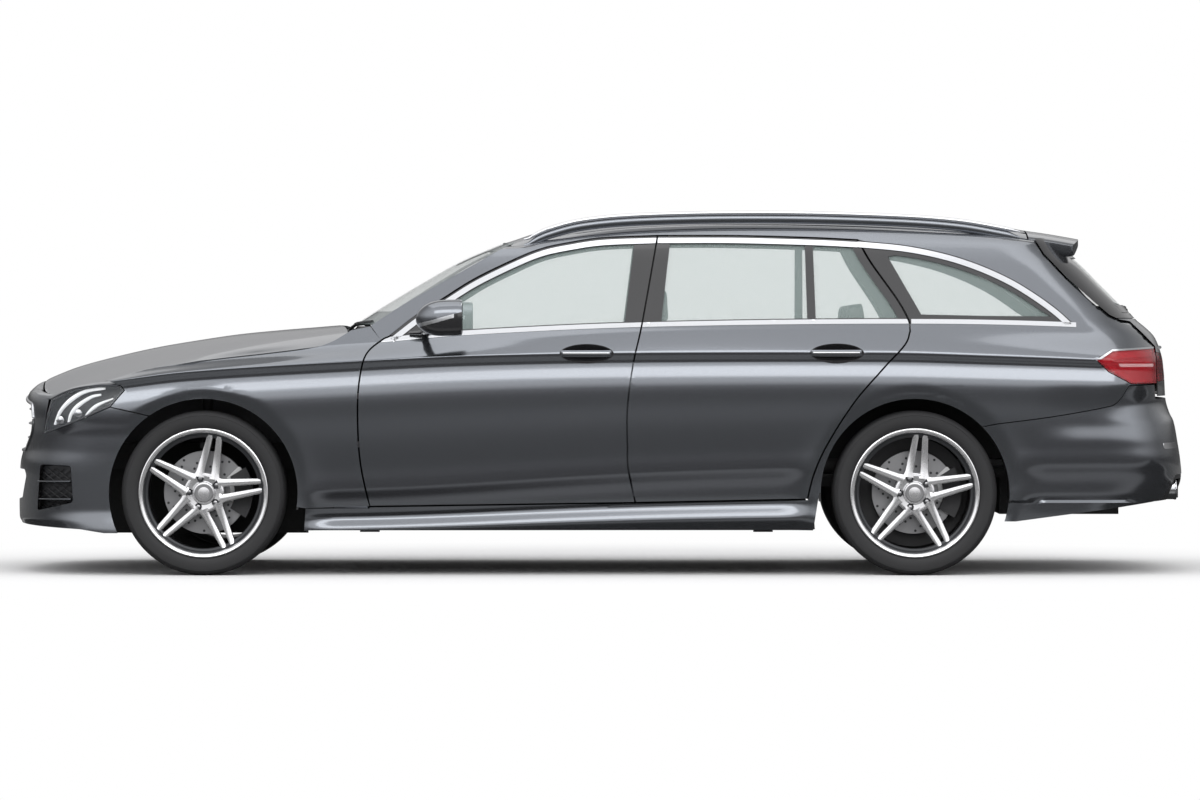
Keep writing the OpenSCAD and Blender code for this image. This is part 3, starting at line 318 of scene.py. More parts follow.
paint = start_material("grey_metallic_paint", flake, Metallic=0.92, Coat_Weight=0.6, Coat_Roughness=0.03)
wire(paint[1], paint[3].outputs["Roughness"], paint[2].inputs["Roughness"])
paint[3].inputs["Color"].default_value = (0.155, 0.165, 0.182, 1)
paint[3].inputs["Flake Color"].default_value = (0.200, 0.212, 0.232, 1)
paint[3].inputs["Roughness"].default_value = 0.17
paint = paint[0]
dark_paint = grained("gloss_black", (0.012, 0.012, 0.013, 1), 0.14, second=1.3, spread=0.04, depth=0.0,
                     Coat_Weight=0.6, Coat_Roughness=0.03)
satin_black = grained("satin_black_plastic", (0.02, 0.02, 0.021, 1), 0.5, size=1200, depth=0.12)
rubber = grained("seal_rubber", (0.012, 0.012, 0.012, 1), 0.7, size=700, depth=0.1)
chrome = grained("polished_trim", (0.64, 0.65, 0.67, 1), 0.16, second=0.95, spread=0.04, depth=0.01,
                 Metallic=1.0)
satin_chrome = grained("satin_rail", (0.72, 0.73, 0.75, 1), 0.3, second=0.94, spread=0.05, depth=0.02,
                       Metallic=1.0)
rim_silver = grained("machined_rim", (0.74, 0.74, 0.75, 1), 0.24, second=0.92, spread=0.06, size=2500,
                     depth=0.04, Metallic=0.85, Coat_Weight=0.4)
rim_grey = grained("rim_pocket_grey", (0.05, 0.052, 0.056, 1), 0.4, second=0.8, Metallic=0.6)
steel = grained("brake_steel", (0.42, 0.42, 0.43, 1), 0.34, second=0.8, spread=0.12, patch=18, size=1400,
                depth=0.08, Metallic=1.0)
caliper_grey = grained("caliper_casting", (0.22, 0.22, 0.23, 1), 0.5, size=350, depth=0.3, Metallic=0.5)
cast_grey = grained("dark_casting", (0.05, 0.05, 0.052, 1), 0.62, size=260, depth=0.4, Metallic=0.4)
engine_grey = grained("engine_casting", (0.09, 0.09, 0.095, 1), 0.55, size=220, depth=0.5, Metallic=0.5)
under_coat = pebbled("underbody_coating", (0.022, 0.022, 0.023, 1), 0.85, 160, 0.5)
liner_felt = grained("liner_felt", (0.014, 0.014, 0.014, 1), 0.95, size=500, depth=0.6)
leather = pebbled("black_leather", (0.028, 0.027, 0.028, 1), 0.42, 420, 0.22, valley_shade=0.6,
                  Specular_IOR_Level=0.45)
soft_plastic = pebbled("soft_dashboard", (0.03, 0.03, 0.032, 1), 0.62, 520, 0.2, valley_shade=0.7)
headliner = grained("headliner_cloth", (0.46, 0.45, 0.43, 1), 0.95, second=0.92, size=1600, depth=0.35)
carpet = grained("carpet", (0.03, 0.03, 0.032, 1), 1.0, size=900, depth=0.9)
tyre_rubber = grained("tyre_rubber", (0.013, 0.013, 0.014, 1), 0.68, second=1.35, spread=0.12, patch=14,
                      size=600, depth=0.18)
exhaust_steel = grained("exhaust_steel", (0.33, 0.32, 0.31, 1), 0.4, second=0.7, spread=0.15, patch=12,
                        Metallic=1.0)
plate_white = grained("blank_plate", (0.78, 0.78, 0.76, 1), 0.45, second=0.97, depth=0.03)
lamp_dark = grained("lamp_housing", (0.03, 0.031, 0.034, 1), 0.3, depth=0.02)
reflector = grained("lamp_reflector", (0.85, 0.86, 0.88, 1), 0.12, second=0.9, depth=0.0, Metallic=1.0)


def glassy(name, color, alpha, rough=0.02, **plain):
    made, tree, shader, effect = start_material(name, grain, Metallic=0.0, Alpha=alpha, IOR=1.45, **plain)
    effect.inputs["Color"].default_value = color
    effect.inputs["Second Color"].default_value = shade(color, 0.97)
    effect.inputs["Roughness"].default_value = rough
    effect.inputs["Spread"].default_value = 0.01
    effect.inputs["Grain Depth"].default_value = 0.0
    wire(tree, effect.outputs["Roughness"], shader.inputs["Roughness"])
    made.surface_render_method = "BLENDED"
    return made


window = glassy("window_glass", (0.50, 0.60, 0.58, 1), 0.20)
screen_glass = glassy("screen_glass", (0.42, 0.50, 0.49, 1), 0.22)
lens = glassy("lamp_lens", (0.30, 0.32, 0.34, 1), 0.09)
red_lens = glassy("red_lens", (0.45, 0.01, 0.02, 1), 0.34, Coat_Weight=1.0)
# Red lamp parts with a painted glow: the weak emission stands in for light falling on them
red_painted_glow = grained("red_lamp_painted_glow", (0.80, 0.035, 0.05, 1), 0.3, second=0.85, size=400, depth=0.4,
                     Emission_Color=(0.9, 0.05, 0.06, 1), Emission_Strength=0.6)
red_deep = grained("red_lamp_back", (0.38, 0.012, 0.02, 1), 0.35, second=0.8, size=400, depth=0.4)
light_strip = grained("light_guide", (0.86, 0.88, 0.9, 1), 0.25, second=0.97, depth=0.02,
                      Emission_Color=(1, 1, 1, 1), Emission_Strength=0.25)
print("finishes", len(bpy.data.materials))

# %% [markdown]
# ## The body surface
# A pressed steel body is one smooth surface with a few creases, cut into panels. The surface here is a set of
# smooth curves: the half width at each height, how it narrows to each end, and where the creases run. Every
# panel, strip and pane is then taken from the same surface, so neighbours always line up. Millimetres.

# %% Body curves
LOW_FOLD = [(-2470, 330), (-961, 358), (122, 422), (817, 445), (2470, 470)]
CREASE = [(-2470, 745), (-2022, 800), (-1702, 840), (-994, 884), (-530, 905), (140, 916), (1215, 916),
          (1584, 905), (1970, 891), (2470, 870)]
BELT = [(-2470, 775), (-2022, 826), (-1856, 857), (-1592, 891), (-1370, 916), (-1100, 948), (-928, 960),
        (-553, 992), (170, 1025), (1276, 1039), (1968, 1025), (2470, 990)]
HALF_WIDTH = [(120, 850), (186, 868), (208, 886), (230, 891), (284, 872), (300, 880), (350, 888), (380, 896),
              (422, 914), (500, 918), (600, 922), (700, 922.5), (765, 923.5), (802, 921), (872, 907),
              (897, 919), (907, 922), (925, 917), (960, 904), (1000, 886), (1030, 868), (1100, 830),
              (1200, 775), (1300, 718), (1400, 655), (1418, 642), (1432, 620), (1442, 595), (1452, 565)]
NARROWING = [(-2470, 40), (-1600, 40), (-1000, 36), (-600, 16), (0, 0), (900, 5), (1700, 28), (2470, 75)]
NOSE_X = [(150, -2440), (203, -2455), (225, -2466), (380, -2466), (459, -2462), (518, -2449), (600, -2442),
          (690, -2437), (749, -2424), (782, -2390), (799, -2366), (840, -2290)]
TAIL_X = [(250, 2360), (277, 2377), (304, 2430), (337, 2445), (388, 2462), (458, 2458), (543, 2445),
          (631, 2428), (665, 2411), (723, 2394), (841, 2385), (900, 2377), (958, 2360), (992, 2343),
          (1026, 2309), (1055, 2274), (1114, 2223), (1202, 2138), (1290, 2052), (1340, 1996), (1437, 1915)]
TAIL_RUN = [(200, 400), (700, 380), (800, 330), (1437, 320)]
ROOF_MID = [(-402, 1384), (-257, 1430), (-86, 1462), (86, 1481), (257, 1491), (500, 1498), (770, 1498),
            (1026, 1493), (1197, 1487), (1368, 1478), (1539, 1466), (1710, 1450), (1791, 1437), (1900, 1421),
            (2031, 1398)]
HOOD_MID = [(-2366, 797), (-2340, 812), (-2223, 858), (-2052, 904), (-1881, 942), (-1710, 971), (-1539, 996),
            (-1368, 1013), (-1197, 1027), (-1040, 1040)]
SCREEN_MID = [(1020, -1079), (1047, -1030), (1114, -924), (1216, -754), (1310, -585), (1382, -415),
              (1404, -360)]
NOSE_START, NOSE_N, TAIL_N = -1946, 2.4, 2.8
FRONT_AXLE, REAR_AXLE, HUB = -1638, 1301, 340


def curve(x, knots):
    k = np.array(knots, float)
    xs, ys = k[:, 0], k[:, 1]
    x = np.clip(np.asarray(x, float), xs[0], xs[-1])
    i = np.clip(np.searchsorted(xs, x, side="right") - 1, 0, len(xs) - 2)
    before, after = np.maximum(np.arange(len(xs)) - 1, 0), np.minimum(np.arange(len(xs)) + 1, len(xs) - 1)
    grade = (ys[after] - ys[before]) / (xs[after] - xs[before])
    h = xs[i + 1] - xs[i]
    t = (x - xs[i]) / h
    return ((2 * t**3 - 3 * t**2 + 1) * ys[i] + (t**3 - 2 * t**2 + t) * h * grade[i]
            + (3 * t**2 - 2 * t**3) * ys[i + 1] + (t**3 - t**2) * h * grade[i + 1])


def ease(t):
    c = np.clip(t, 0, 1)
    return c * c * (3 - 2 * c)


def tail_start(z):
    return curve(z, TAIL_X) - curve(z, TAIL_RUN)


def roof_edge(x, b):
    return np.maximum(b + 362, curve(x, ROOF_MID) - 44)


def level_of(x, z):
    """The level of a height: 422 at the low fold, 905 at the crease, 1030 at the belt, 1452 at the roof."""
    a, c, b = curve(x, LOW_FOLD), curve(x, CREASE), curve(x, BELT)
    top = b + 350
    return np.select([z < a, z < c, z < b, z < top],
                     [z * 422 / a, 422 + (z - a) * 483 / (c - a), 905 + (z - c) * 125 / (b - c), 1030 + z - b],
                     1380 + (z - top) * 72 / (roof_edge(x, b) - top))


def height_of(x, r):
    a, c, b = curve(x, LOW_FOLD), curve(x, CREASE), curve(x, BELT)
    top = b + 350
    return np.select([r < 422, r < 905, r < 1030, r < 1380],
                     [r * a / 422, a + (r - 422) * (c - a) / 483, c + (r - 905) * (b - c) / 125, b + r - 1030],
                     top + (r - 1380) * (roof_edge(x, b) - top) / 72)


def core_y(x, z):
    r = level_of(x, z)
    w = curve(r, HALF_WIDTH)
    flare = np.maximum(ease(1 - (np.hypot(x - FRONT_AXLE, z - HUB) - 390) / 160),
                       ease(1 - (np.hypot(x - REAR_AXLE, z - HUB) - 390) / 160))
    w = w + np.where(r < 800, np.maximum(0, 922 - w) * flare, 0)
    w = w - 7 * ease((z - 545) / 85) * (1 - ease((z - 680) / 130)) * ease((x - 1750) / 250)
    ends = np.maximum(ease((x - 1600) / 60), ease((-1950 - x) / 60)) * (z < 300)
    w = w + (850 + (z - 120) / 6 - w) * 0.85 * ends
    near = np.minimum(np.hypot(x - FRONT_AXLE, z - HUB), np.hypot(x - REAR_AXLE, z - HUB)) - 390
    w = w - 13 * ease(1 - near / 46) * ease((z - 180) / 90)
    return w - curve(x, NARROWING) * ease((r - 905) / 110)


def rounding(u, n):
    return np.maximum(0.001, 1 - np.clip(u, 0, 1) ** n) ** (1 / n)


def side_y(x, z):
    front = rounding((NOSE_START - x) / (NOSE_START - curve(z, NOSE_X)), NOSE_N)
    return core_y(x, z) * front * rounding((x - tail_start(z)) / curve(z, TAIL_RUN), TAIL_N)


def hood_z(x, y):
    sweep = 80 * (np.abs(y) / 590) ** 2.2
    s = np.clip((x + 2366 - sweep) / (1326 - sweep), 0, 1)
    front, rear = 68 * (1 - np.exp(-((y / 400) ** 2))), 92 * (np.abs(y) / 835) ** 2.6
    return curve(-2366 + 1326 * s, HOOD_MID) - (front + (rear - front) * s)


def roof_z(x, y):
    return curve(x, ROOF_MID) - 72 * (np.abs(y) / 640) ** 4


def screen_x(y, z):
    return curve(z, SCREEN_MID) + 105 * (y / 700) ** 2


# Each surface takes two running numbers and a depth, and gives points
def side_surface(x, r, d):
    z = height_of(x, r)
    return np.stack([x, -side_y(x, z) + d, z], -1)


def side_flat(x, z, d):
    return np.stack([x, -side_y(x, z) + d, z], -1)


def roof_surface(x, y, d):
    nose = x + np.maximum(0, -x - 86) / 328 * 67 * (y / 560) ** 2
    return np.stack([nose, y, roof_z(x, y) - d], -1)


def nose_surface(a, z, d):
    t = np.radians(np.clip(a, -90, 90))
    w, l = core_y(NOSE_START, z) - d, NOSE_START - curve(z, NOSE_X) - d
    run = np.maximum(np.abs(a) - 90, 0) * 10
    x = NOSE_START - l * np.maximum(np.cos(t), 0) ** (2 / NOSE_N) + run
    y = np.sign(a) * np.where(run > 0, core_y(x, z) - d, w * np.abs(np.sin(t)) ** (2 / NOSE_N))
    return np.stack([x, y, z], -1)


def tail_surface(a, z, d):
    t = np.radians(np.clip(a, -90, 90))
    start = tail_start(z)
    run = np.maximum(np.abs(a) - 90, 0) * 10
    x = start + (curve(z, TAIL_RUN) - d) * np.maximum(np.cos(t), 0) ** (2 / TAIL_N) - run
    w = core_y(np.where(run > 0, x, start), z) - d
    y = np.sign(a) * np.where(run > 0, w, w * np.abs(np.sin(t)) ** (2 / TAIL_N))
    return np.stack([x, y, z], -1)


print("half width at the door", round(float(side_y(0, 700))), "mm")

# %% [markdown]
# ## Making panels
# A panel is a sheet of the body surface with an outline cut out of it. The sheet starts as a flat grid that is
# extruded to a thin slab and laid on the surface. An outline is extruded to a bar, and a boolean keeps what
# both share. This gives clean shut lines on a dense, smooth surface.

# %% Panel tools
MM = 0.001


def publish(name, bm, material, smooth=32):
    mesh = bpy.data.meshes.new(name)
    bm.to_mesh(mesh)
    bm.free()
    thing = bpy.data.objects.new(name, mesh)
    bpy.context.scene.collection.objects.link(thing)
    if material:
        mesh.materials.append(material)
    smooth_piece(thing, smooth)
    return thing


def smooth_piece(thing, angle=32):
    thing.data.polygons.foreach_set("use_smooth", [True] * len(thing.data.polygons))
    thing.data.set_sharp_from_angle(angle=math.radians(angle))


def fit(thing, body, slot, *nodes):
    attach(thing, body)
    if nodes:
        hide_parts(*nodes)
    return thing


def sheet(name, surface, us, vs, d0, d1, material=None):
    bm = bmesh.new()
    nu, nv = len(us) - 1, len(vs) - 1
    bmesh.ops.create_grid(bm, x_segments=nu, y_segments=nv, size=0.5)
    grown = bmesh.ops.extrude_face_region(bm, geom=bm.faces[:])["geom"]
    bmesh.ops.translate(bm, verts=[g for g in grown if isinstance(g, bmesh.types.BMVert)], vec=(0, 0, 1))
    spots = np.array([v.co for v in bm.verts])
    i = np.rint((spots[:, 0] + 0.5) * nu).astype(int)
    j = np.rint((spots[:, 1] + 0.5) * nv).astype(int)
    depth = np.where(spots[:, 2] > 0.5, d1, d0)
    points = surface(np.array(us, float)[i], np.array(vs, float)[j], depth) * MM
    for v, p in zip(bm.verts, points):
        v.co = p
    bmesh.ops.recalc_face_normals(bm, faces=bm.faces[:])
    return publish(name, bm, material)


def bar(outline, along, low, high):
    """A flat outline as a bar: along Y it is drawn as (x, z), along X as (y, z), along Z as (x, y)."""
    bm = bmesh.new()
    lay = {"Y": lambda p: (p[0], low, p[1]), "X": lambda p: (low, p[0], p[1]),
           "Z": lambda p: (p[0], p[1], low)}
    push = {"Y": (0, high - low, 0), "X": (high - low, 0, 0), "Z": (0, 0, high - low)}
    face = bm.faces.new([bm.verts.new(Vector(lay[along](p)) * MM) for p in outline])
    grown = bmesh.ops.extrude_face_region(bm, geom=[face])["geom"]
    bmesh.ops.translate(bm, verts=[g for g in grown if isinstance(g, bmesh.types.BMVert)],
                        vec=Vector(push[along]) * MM)
    bmesh.ops.triangulate(bm, faces=[f for f in bm.faces if len(f.verts) > 4])
    bmesh.ops.recalc_face_normals(bm, faces=bm.faces[:])
    return publish("tool", bm, None)


def cut(thing, tool, how="DIFFERENCE", keep=False):
    mod = thing.modifiers.new("cut", "BOOLEAN")
    mod.object, mod.operation, mod.solver = tool, how, "MANIFOLD"
    result = bpy.data.meshes.new_from_object(thing.evaluated_get(bpy.context.evaluated_depsgraph_get()))
    thing.modifiers.clear()
    old = thing.data
    if old.materials:
        result.materials.clear()
        result.materials.append(old.materials[0])
        result.polygons.foreach_set("material_index", [0] * len(result.polygons))
    thing.data = result
    result.name = thing.name
    bpy.data.meshes.remove(old)
    if not keep:
        drop(tool)
    smooth_piece(thing)
    return thing


def keep_in(thing, outline):
    """Only what lies inside an outline, drawn from the left side as (x, z), is kept."""
    return cut(thing, bar(outline, "Y", -1110, -190), "INTERSECT")


def carve(thing, outline):
    return cut(thing, bar(outline, "Y", -1110, -190))


def drop(thing):
    mesh = thing.data
    bpy.data.objects.remove(thing)
    bpy.data.meshes.remove(mesh)


def merged(name, things, material=None):
    bm = bmesh.new()
    for thing in things:
        bm.from_mesh(thing.data)
        if material is None and thing.data.materials:
            material = thing.data.materials[0]
        drop(thing)
    return publish(name, bm, material)


def other_side(thing, name=None):
    bm = bmesh.new()
    bm.from_mesh(thing.data)
    bmesh.ops.scale(bm, vec=(1, -1, 1), verts=bm.verts[:])
    bmesh.ops.reverse_faces(bm, faces=bm.faces[:])
    return publish(name or thing.name.replace("left", "right"), bm, thing.data.materials[0])


def both_sides(thing):
    name, material = thing.name, thing.data.materials[0]
    twin = other_side(thing, name + "_twin")
    thing.name = name + "_half"
    return merged(name, [thing, twin], material)


def spread(low, high, step):
    count = max(1, int(round((high - low) / step)))
    return list(np.linspace(low, high, count + 1))


def flow(points, per=6):
    """A smooth curve through the points."""
    p = [np.array(q, float) for q in points]
    p = [2 * p[0] - p[1]] + p + [2 * p[-1] - p[-2]]
    line = []
    for k in range(1, len(p) - 2):
        for s in range(per):
            t = s / per
            line.append(0.5 * (2 * p[k] + (p[k + 1] - p[k - 1]) * t
                               + (2 * p[k - 1] - 5 * p[k] + 4 * p[k + 1] - p[k + 2]) * t**2
                               + (3 * p[k] - p[k - 1] - 3 * p[k + 1] + p[k + 2]) * t**3))
    return [tuple(q) for q in line] + [tuple(p[-2])]


def shift(line, distance, closed=False):
    """The line moved sideways, to the right of its direction when distance is positive."""
    p = np.array(line, float)
    n = len(p)
    before = p[(np.arange(n) - 1) % n] if closed else p[np.maximum(np.arange(n) - 1, 0)]
    after = p[(np.arange(n) + 1) % n] if closed else p[np.minimum(np.arange(n) + 1, n - 1)]
    a, b = p - before, after - p
    a[np.linalg.norm(a, axis=1) < 1e-6] = b[np.linalg.norm(a, axis=1) < 1e-6]
    b[np.linalg.norm(b, axis=1) < 1e-6] = a[np.linalg.norm(b, axis=1) < 1e-6]
    a /= np.linalg.norm(a, axis=1)[:, None]
    b /= np.linalg.norm(b, axis=1)[:, None]
    na, nb = np.stack([a[:, 1], -a[:, 0]], 1), np.stack([b[:, 1], -b[:, 0]], 1)
    m = na + nb
    m /= np.maximum(0.6, (m * na).sum(1))[:, None]
    return [tuple(q) for q in p + m * distance]


def area(outline):
    p = np.array(outline)
    q = np.roll(p, -1, 0)
    return 0.5 * float((p[:, 0] * q[:, 1] - q[:, 0] * p[:, 1]).sum())


def shrink(outline, distance):
    """A closed outline made smaller all round."""
    return shift(outline, -distance if area(outline) > 0 else distance, closed=True)


def ribbon(line, near, far):
    return shift(line, near) + shift(line, far)[::-1]


FINE_LEVELS = sorted(set(spread(150, 205, 14) + spread(209, 309, 10) + spread(324, 420, 16) + [422]
                         + spread(430, 860, 18) + spread(866, 935, 6) + spread(945, 1040, 9)
                         + spread(1055, 1400, 17) + spread(1405, 1452, 6)))


def side_panel(name, outline, d0, d1, material, step=22, holes=(), flat=False):
    """A piece of the left side, cut to an outline drawn as (x, z)."""
    p = np.array(outline)
    x0, x1, z0, z1 = p[:, 0].min() - 30, p[:, 0].max() + 30, p[:, 1].min() - 30, p[:, 1].max() + 30
    xs = spread(max(x0, -2400), min(x1, 2345), step)
    if flat:
        slab = sheet(name, side_flat, xs, spread(z0, z1, step), d0, d1, material)
    else:
        levels = level_of(np.repeat(xs, 2), np.tile([z0, z1], len(xs)))
        rows = [r for r in FINE_LEVELS if levels.min() - 20 < r < levels.max() + 20]
        slab = sheet(name, side_surface, xs, rows, d0, d1, material)
    keep_in(slab, outline)
    for hole in holes:
        carve(slab, hole)
    return slab


def circle_outline(x, z, r, count=72, a0=0, a1=360):
    return [(x + r * math.cos(math.radians(a)), z + r * math.sin(math.radians(a)))
            for a in np.linspace(a0, a1, count, endpoint=a1 - a0 < 360)]


print("panel tools ready,", len(FINE_LEVELS), "levels up the side")

# %% Shut lines
FRONT_SHUT = flow([(-952, 284), (-989, 466), (-1000, 640), (-995, 791), (-967, 911), (-906, 970),
                   (-873, 987)])
ROOF_SHUT = flow([(-873, 987), (-763, 1073), (-652, 1144), (-522, 1226), (-355, 1308), (-245, 1352),
                  (-133, 1377), (11, 1398), (240, 1407)])
ROOF_SHUT_REAR = flow([(240, 1407), (558, 1407), (893, 1398), (1074, 1389)])
QUARTER_TOP = flow([(1074, 1389), (1265, 1371), (1431, 1338), (1574, 1292), (1706, 1232), (1813, 1166),
                    (1900, 1101), (1958, 1047)])
B_SHUT = flow([(240, 1407), (222, 1303), (172, 1030), (138, 878), (113, 694), (113, 531), (116, 444),
               (146, 300)])
C_UPPER = flow([(1074, 1389), (1127, 1292), (1232, 1139), (1277, 1052), (1282, 1009)])
C_LOWER = flow([(1282, 1009), (1260, 954), (1172, 857), (1050, 716), (939, 542), (884, 422), (856, 314)])
C_SHUT = C_UPPER + C_LOWER[1:]
PILLAR_EDGE = [(-951, 1032), (-810, 1123), (-607, 1239), (-403, 1356), (-337, 1389)]
HOOD_SIDE = flow([(-1033, 1014), (-1050, 1003), (-1116, 965), (-1205, 938), (-1370, 916), (-1592, 891),
                  (-1856, 857), (-2034, 807)])
HOOD_KNOTS = sorted(HOOD_SIDE)
GATE_SHUT = [(1790, 1437), (1850, 1330), (1940, 1231), (2050, 1130), (2116, 1074), (2162, 1054),
             (2210, 1047), (2280, 977), (2316, 944)]
BUMPER_REAR_TOP = flow([(1589, 618), (1650, 629), (1860, 656), (2075, 694), (2135, 716), (2186, 786)])
LAMP_FRONT = [(-2022, 696), (-2157, 637), (-2317, 580), (-2300, 670), (-2282, 727), (-2191, 767),
              (-2070, 786), (-1978, 783), (-1963, 764)]
LAMP_REAR = [(2046, 891), (2115, 932), (2316, 944), (2316, 791), (2194, 791), (2100, 840)]
ARCH = 390
FRONT_DOOR = FRONT_SHUT + ROOF_SHUT[1:] + B_SHUT[1:]
REAR_DOOR = B_SHUT[::-1] + ROOF_SHUT_REAR[1:] + C_SHUT[1:]
print("front door outline area", round(abs(area(FRONT_DOOR)) * 1e-6, 2), "m2")


def belt_line(x0, x1, rise=0):
    return [(x, float(curve(x, BELT)) + rise) for x in spread(x0, x1, 40)]


def below_belt(x0, x1, rise):
    return belt_line(x0, x1, rise) + [(x1, 100), (x0, 100)]


def above_belt(x0, x1, rise):
    return belt_line(x0, x1, rise) + [(x1, 1600), (x0, 1600)]

# %% [markdown]
# ## Side frame and front fender
# The side of the car is one pressing from the windshield pillar to the rear lamp. The doors, the wheel arch
# and the quarter window are cut out of it. The front fender is bolted on, so it is its own piece here.

# %% Side frame
side_edge = ([(-906, 970)] + PILLAR_EDGE + [(-200, 1449), (-86, 1560), (1700, 1560)] + GATE_SHUT
             + [(2316, 791), (2186, 786)] + BUMPER_REAR_TOP[::-1][1:]
             + [(1560, 618), (1300, 340), (905, 340), (880, 186), (-1221, 186), (-1215, 276), (-952, 276)])
gate_room = GATE_SHUT + [(2316, 735), (2600, 735), (2600, 1600), (1790, 1600)]
quarter_room = (shift(C_UPPER, -3.5)[::-1] + shift(QUARTER_TOP, 3)[1:] + belt_line(1280, 1950, 0)[::-1])
side = side_panel("side_frame_skin", side_edge, 0, 38, paint,
                  holes=[shrink(FRONT_DOOR, -3.5), shrink(REAR_DOOR, -3.5), shrink(gate_room, -3.5),
                         shrink(LAMP_REAR, -1.5), circle_outline(REAR_AXLE, HUB, ARCH), quarter_room])
lip = side_panel("arch_lip", circle_outline(REAR_AXLE, HUB, ARCH + 8, 80, -12, 192)
                 + circle_outline(REAR_AXLE, HUB, ARCH, 80, -12, 192)[::-1], 2, 60, satin_black)
keep_in(lip, [(800, 306), (1800, 306), (1800, 900), (800, 900)])
sill = side_panel("sill_box", [(-1215, 190), (-1210, 305), (-978, 305), (-962, 272), (146, 288), (853, 302),
                               (880, 296), (888, 190)], 30, 172, satin_black)
a_post = side_panel("front_post", [(-1100, 200), (-900, 200), (-900, 985), (-905, 1015), (-950, 1015),
                                   (-1060, 970), (-1100, 900)], 27, 128, paint,
                    holes=[shrink(FRONT_DOOR, -10)])
jamb = side_panel("rear_jamb", ribbon(C_SHUT, -26, 26), 112, 118, satin_black)
seam = side_panel("seam_backing", ribbon(BUMPER_REAR_TOP, -16, 16), 40, 43, satin_black)
front_seam = side_panel("front_seam_backing", [(-2035, 710), (-1900, 690), (-1866, 684), (-1905, 652),
                                               (-2035, 680)], 12, 15, satin_black, flat=True)
b_low = side_panel("middle_post", [(97, 200), (213, 200), (213, 1046), (160, 1046), (97, 800)], 133, 172,
                   paint)
b_high = side_panel("middle_post_top", [(152, 1040), (218, 1040), (288, 1419), (204, 1419)], 50, 90,
                    satin_black)
for name, piece, nodes in (("side_frame", side, ("side_frame_left", "side_frame_right")),
                           ("arch_lips", lip, ()), ("sills", sill, ()), ("front_posts", a_post, ()),
                           ("middle_posts", b_low, ()), ("middle_post_tops", b_high, ()),
                           ("rear_jambs", jamb, ()), ("seam_backings", seam, ()),
                           ("front_seam_backings", front_seam, ())):
    piece.name = name
    fit(both_sides(piece), "body", "paint" if piece is side else "black_trim", *nodes)

# %% Front fenders
hood_edge_low = shift(HOOD_SIDE, -2)
fender_edge = ([(-1215, 278), (-953, 286)] + shift(FRONT_SHUT[:31], -3.5)[1:] + [(-953, 1028)]
               + hood_edge_low + [(-1978, 785), (-1961, 764), (-2020, 697), (-1908, 673), (-1864, 661),
                                  (-1800, 661), (-1638, 340)])
fender = side_panel("front_fender", fender_edge, 0, 8, paint, step=16,
                    holes=[circle_outline(FRONT_AXLE, HUB, ARCH), shrink(LAMP_FRONT, -2)])
fender_lip = side_panel("front_arch_lip", circle_outline(FRONT_AXLE, HUB, ARCH + 7, 80, -10, 125)
                        + circle_outline(FRONT_AXLE, HUB, ARCH, 80, -10, 125)[::-1], 1.5, 24, satin_black)
fender.name, fender_lip.name = "fenders", "fender_lips"
fit(both_sides(fender), "body", "paint", "front_fenders")
fit(both_sides(fender_lip), "body", "black_trim")
print("fenders ready")

# %% [markdown]
# ## Doors
# A door is a thick shell below the window and a thin black frame round the glass. A bright strip runs along
# the belt and over the frame. The handle is a bar across a scooped bowl, so the bowl is really cut into the skin.
# The bowl is lined with a gloss black shell, which is painted shade.

# %% Door makers
HINGES = {"front": (-921, -905), "rear": (192, -905)}


def window_room(name):
    """The opening of a side window as a cutting bar."""
    if name == "front":
        top, quad, far_side = ROOF_SHUT, [(-690, 900), (84, 900), (152, 1450), (-690, 1450)], None
    else:
        top, quad = ROOF_SHUT_REAR, [(236, 900), (1300, 900), (1300, 1100), (1090, 1450), (300, 1450)]
        far_side = shift(C_UPPER, 36) + [(1200, 850), (150, 850), (150, 1700), (1000, 1700)]
    line = shift(top, 34)
    tool = bar(line + [(line[-1][0] + 200, line[-1][1]), (line[-1][0] + 200, 850), (line[0][0], 850)], "Y",
               -1120, -180)
    keep_in(tool, above_belt(-1000, 1500, 24))
    keep_in(tool, quad)
    if far_side:
        keep_in(tool, far_side)
    return tool


def block(x0, x1, y0, y1, z0, z1):
    return bar([(x0, z0), (x1, z0), (x1, z1), (x0, z1)], "Y", y0, y1)


def ellipsoid(center, radii, rings=32):
    bm = bmesh.new()
    bmesh.ops.create_uvsphere(bm, u_segments=rings * 2, v_segments=rings, radius=1)
    bmesh.ops.scale(bm, vec=Vector(radii) * MM, verts=bm.verts[:])
    bmesh.ops.translate(bm, vec=Vector(center) * MM, verts=bm.verts[:])
    return publish("tool", bm, None)


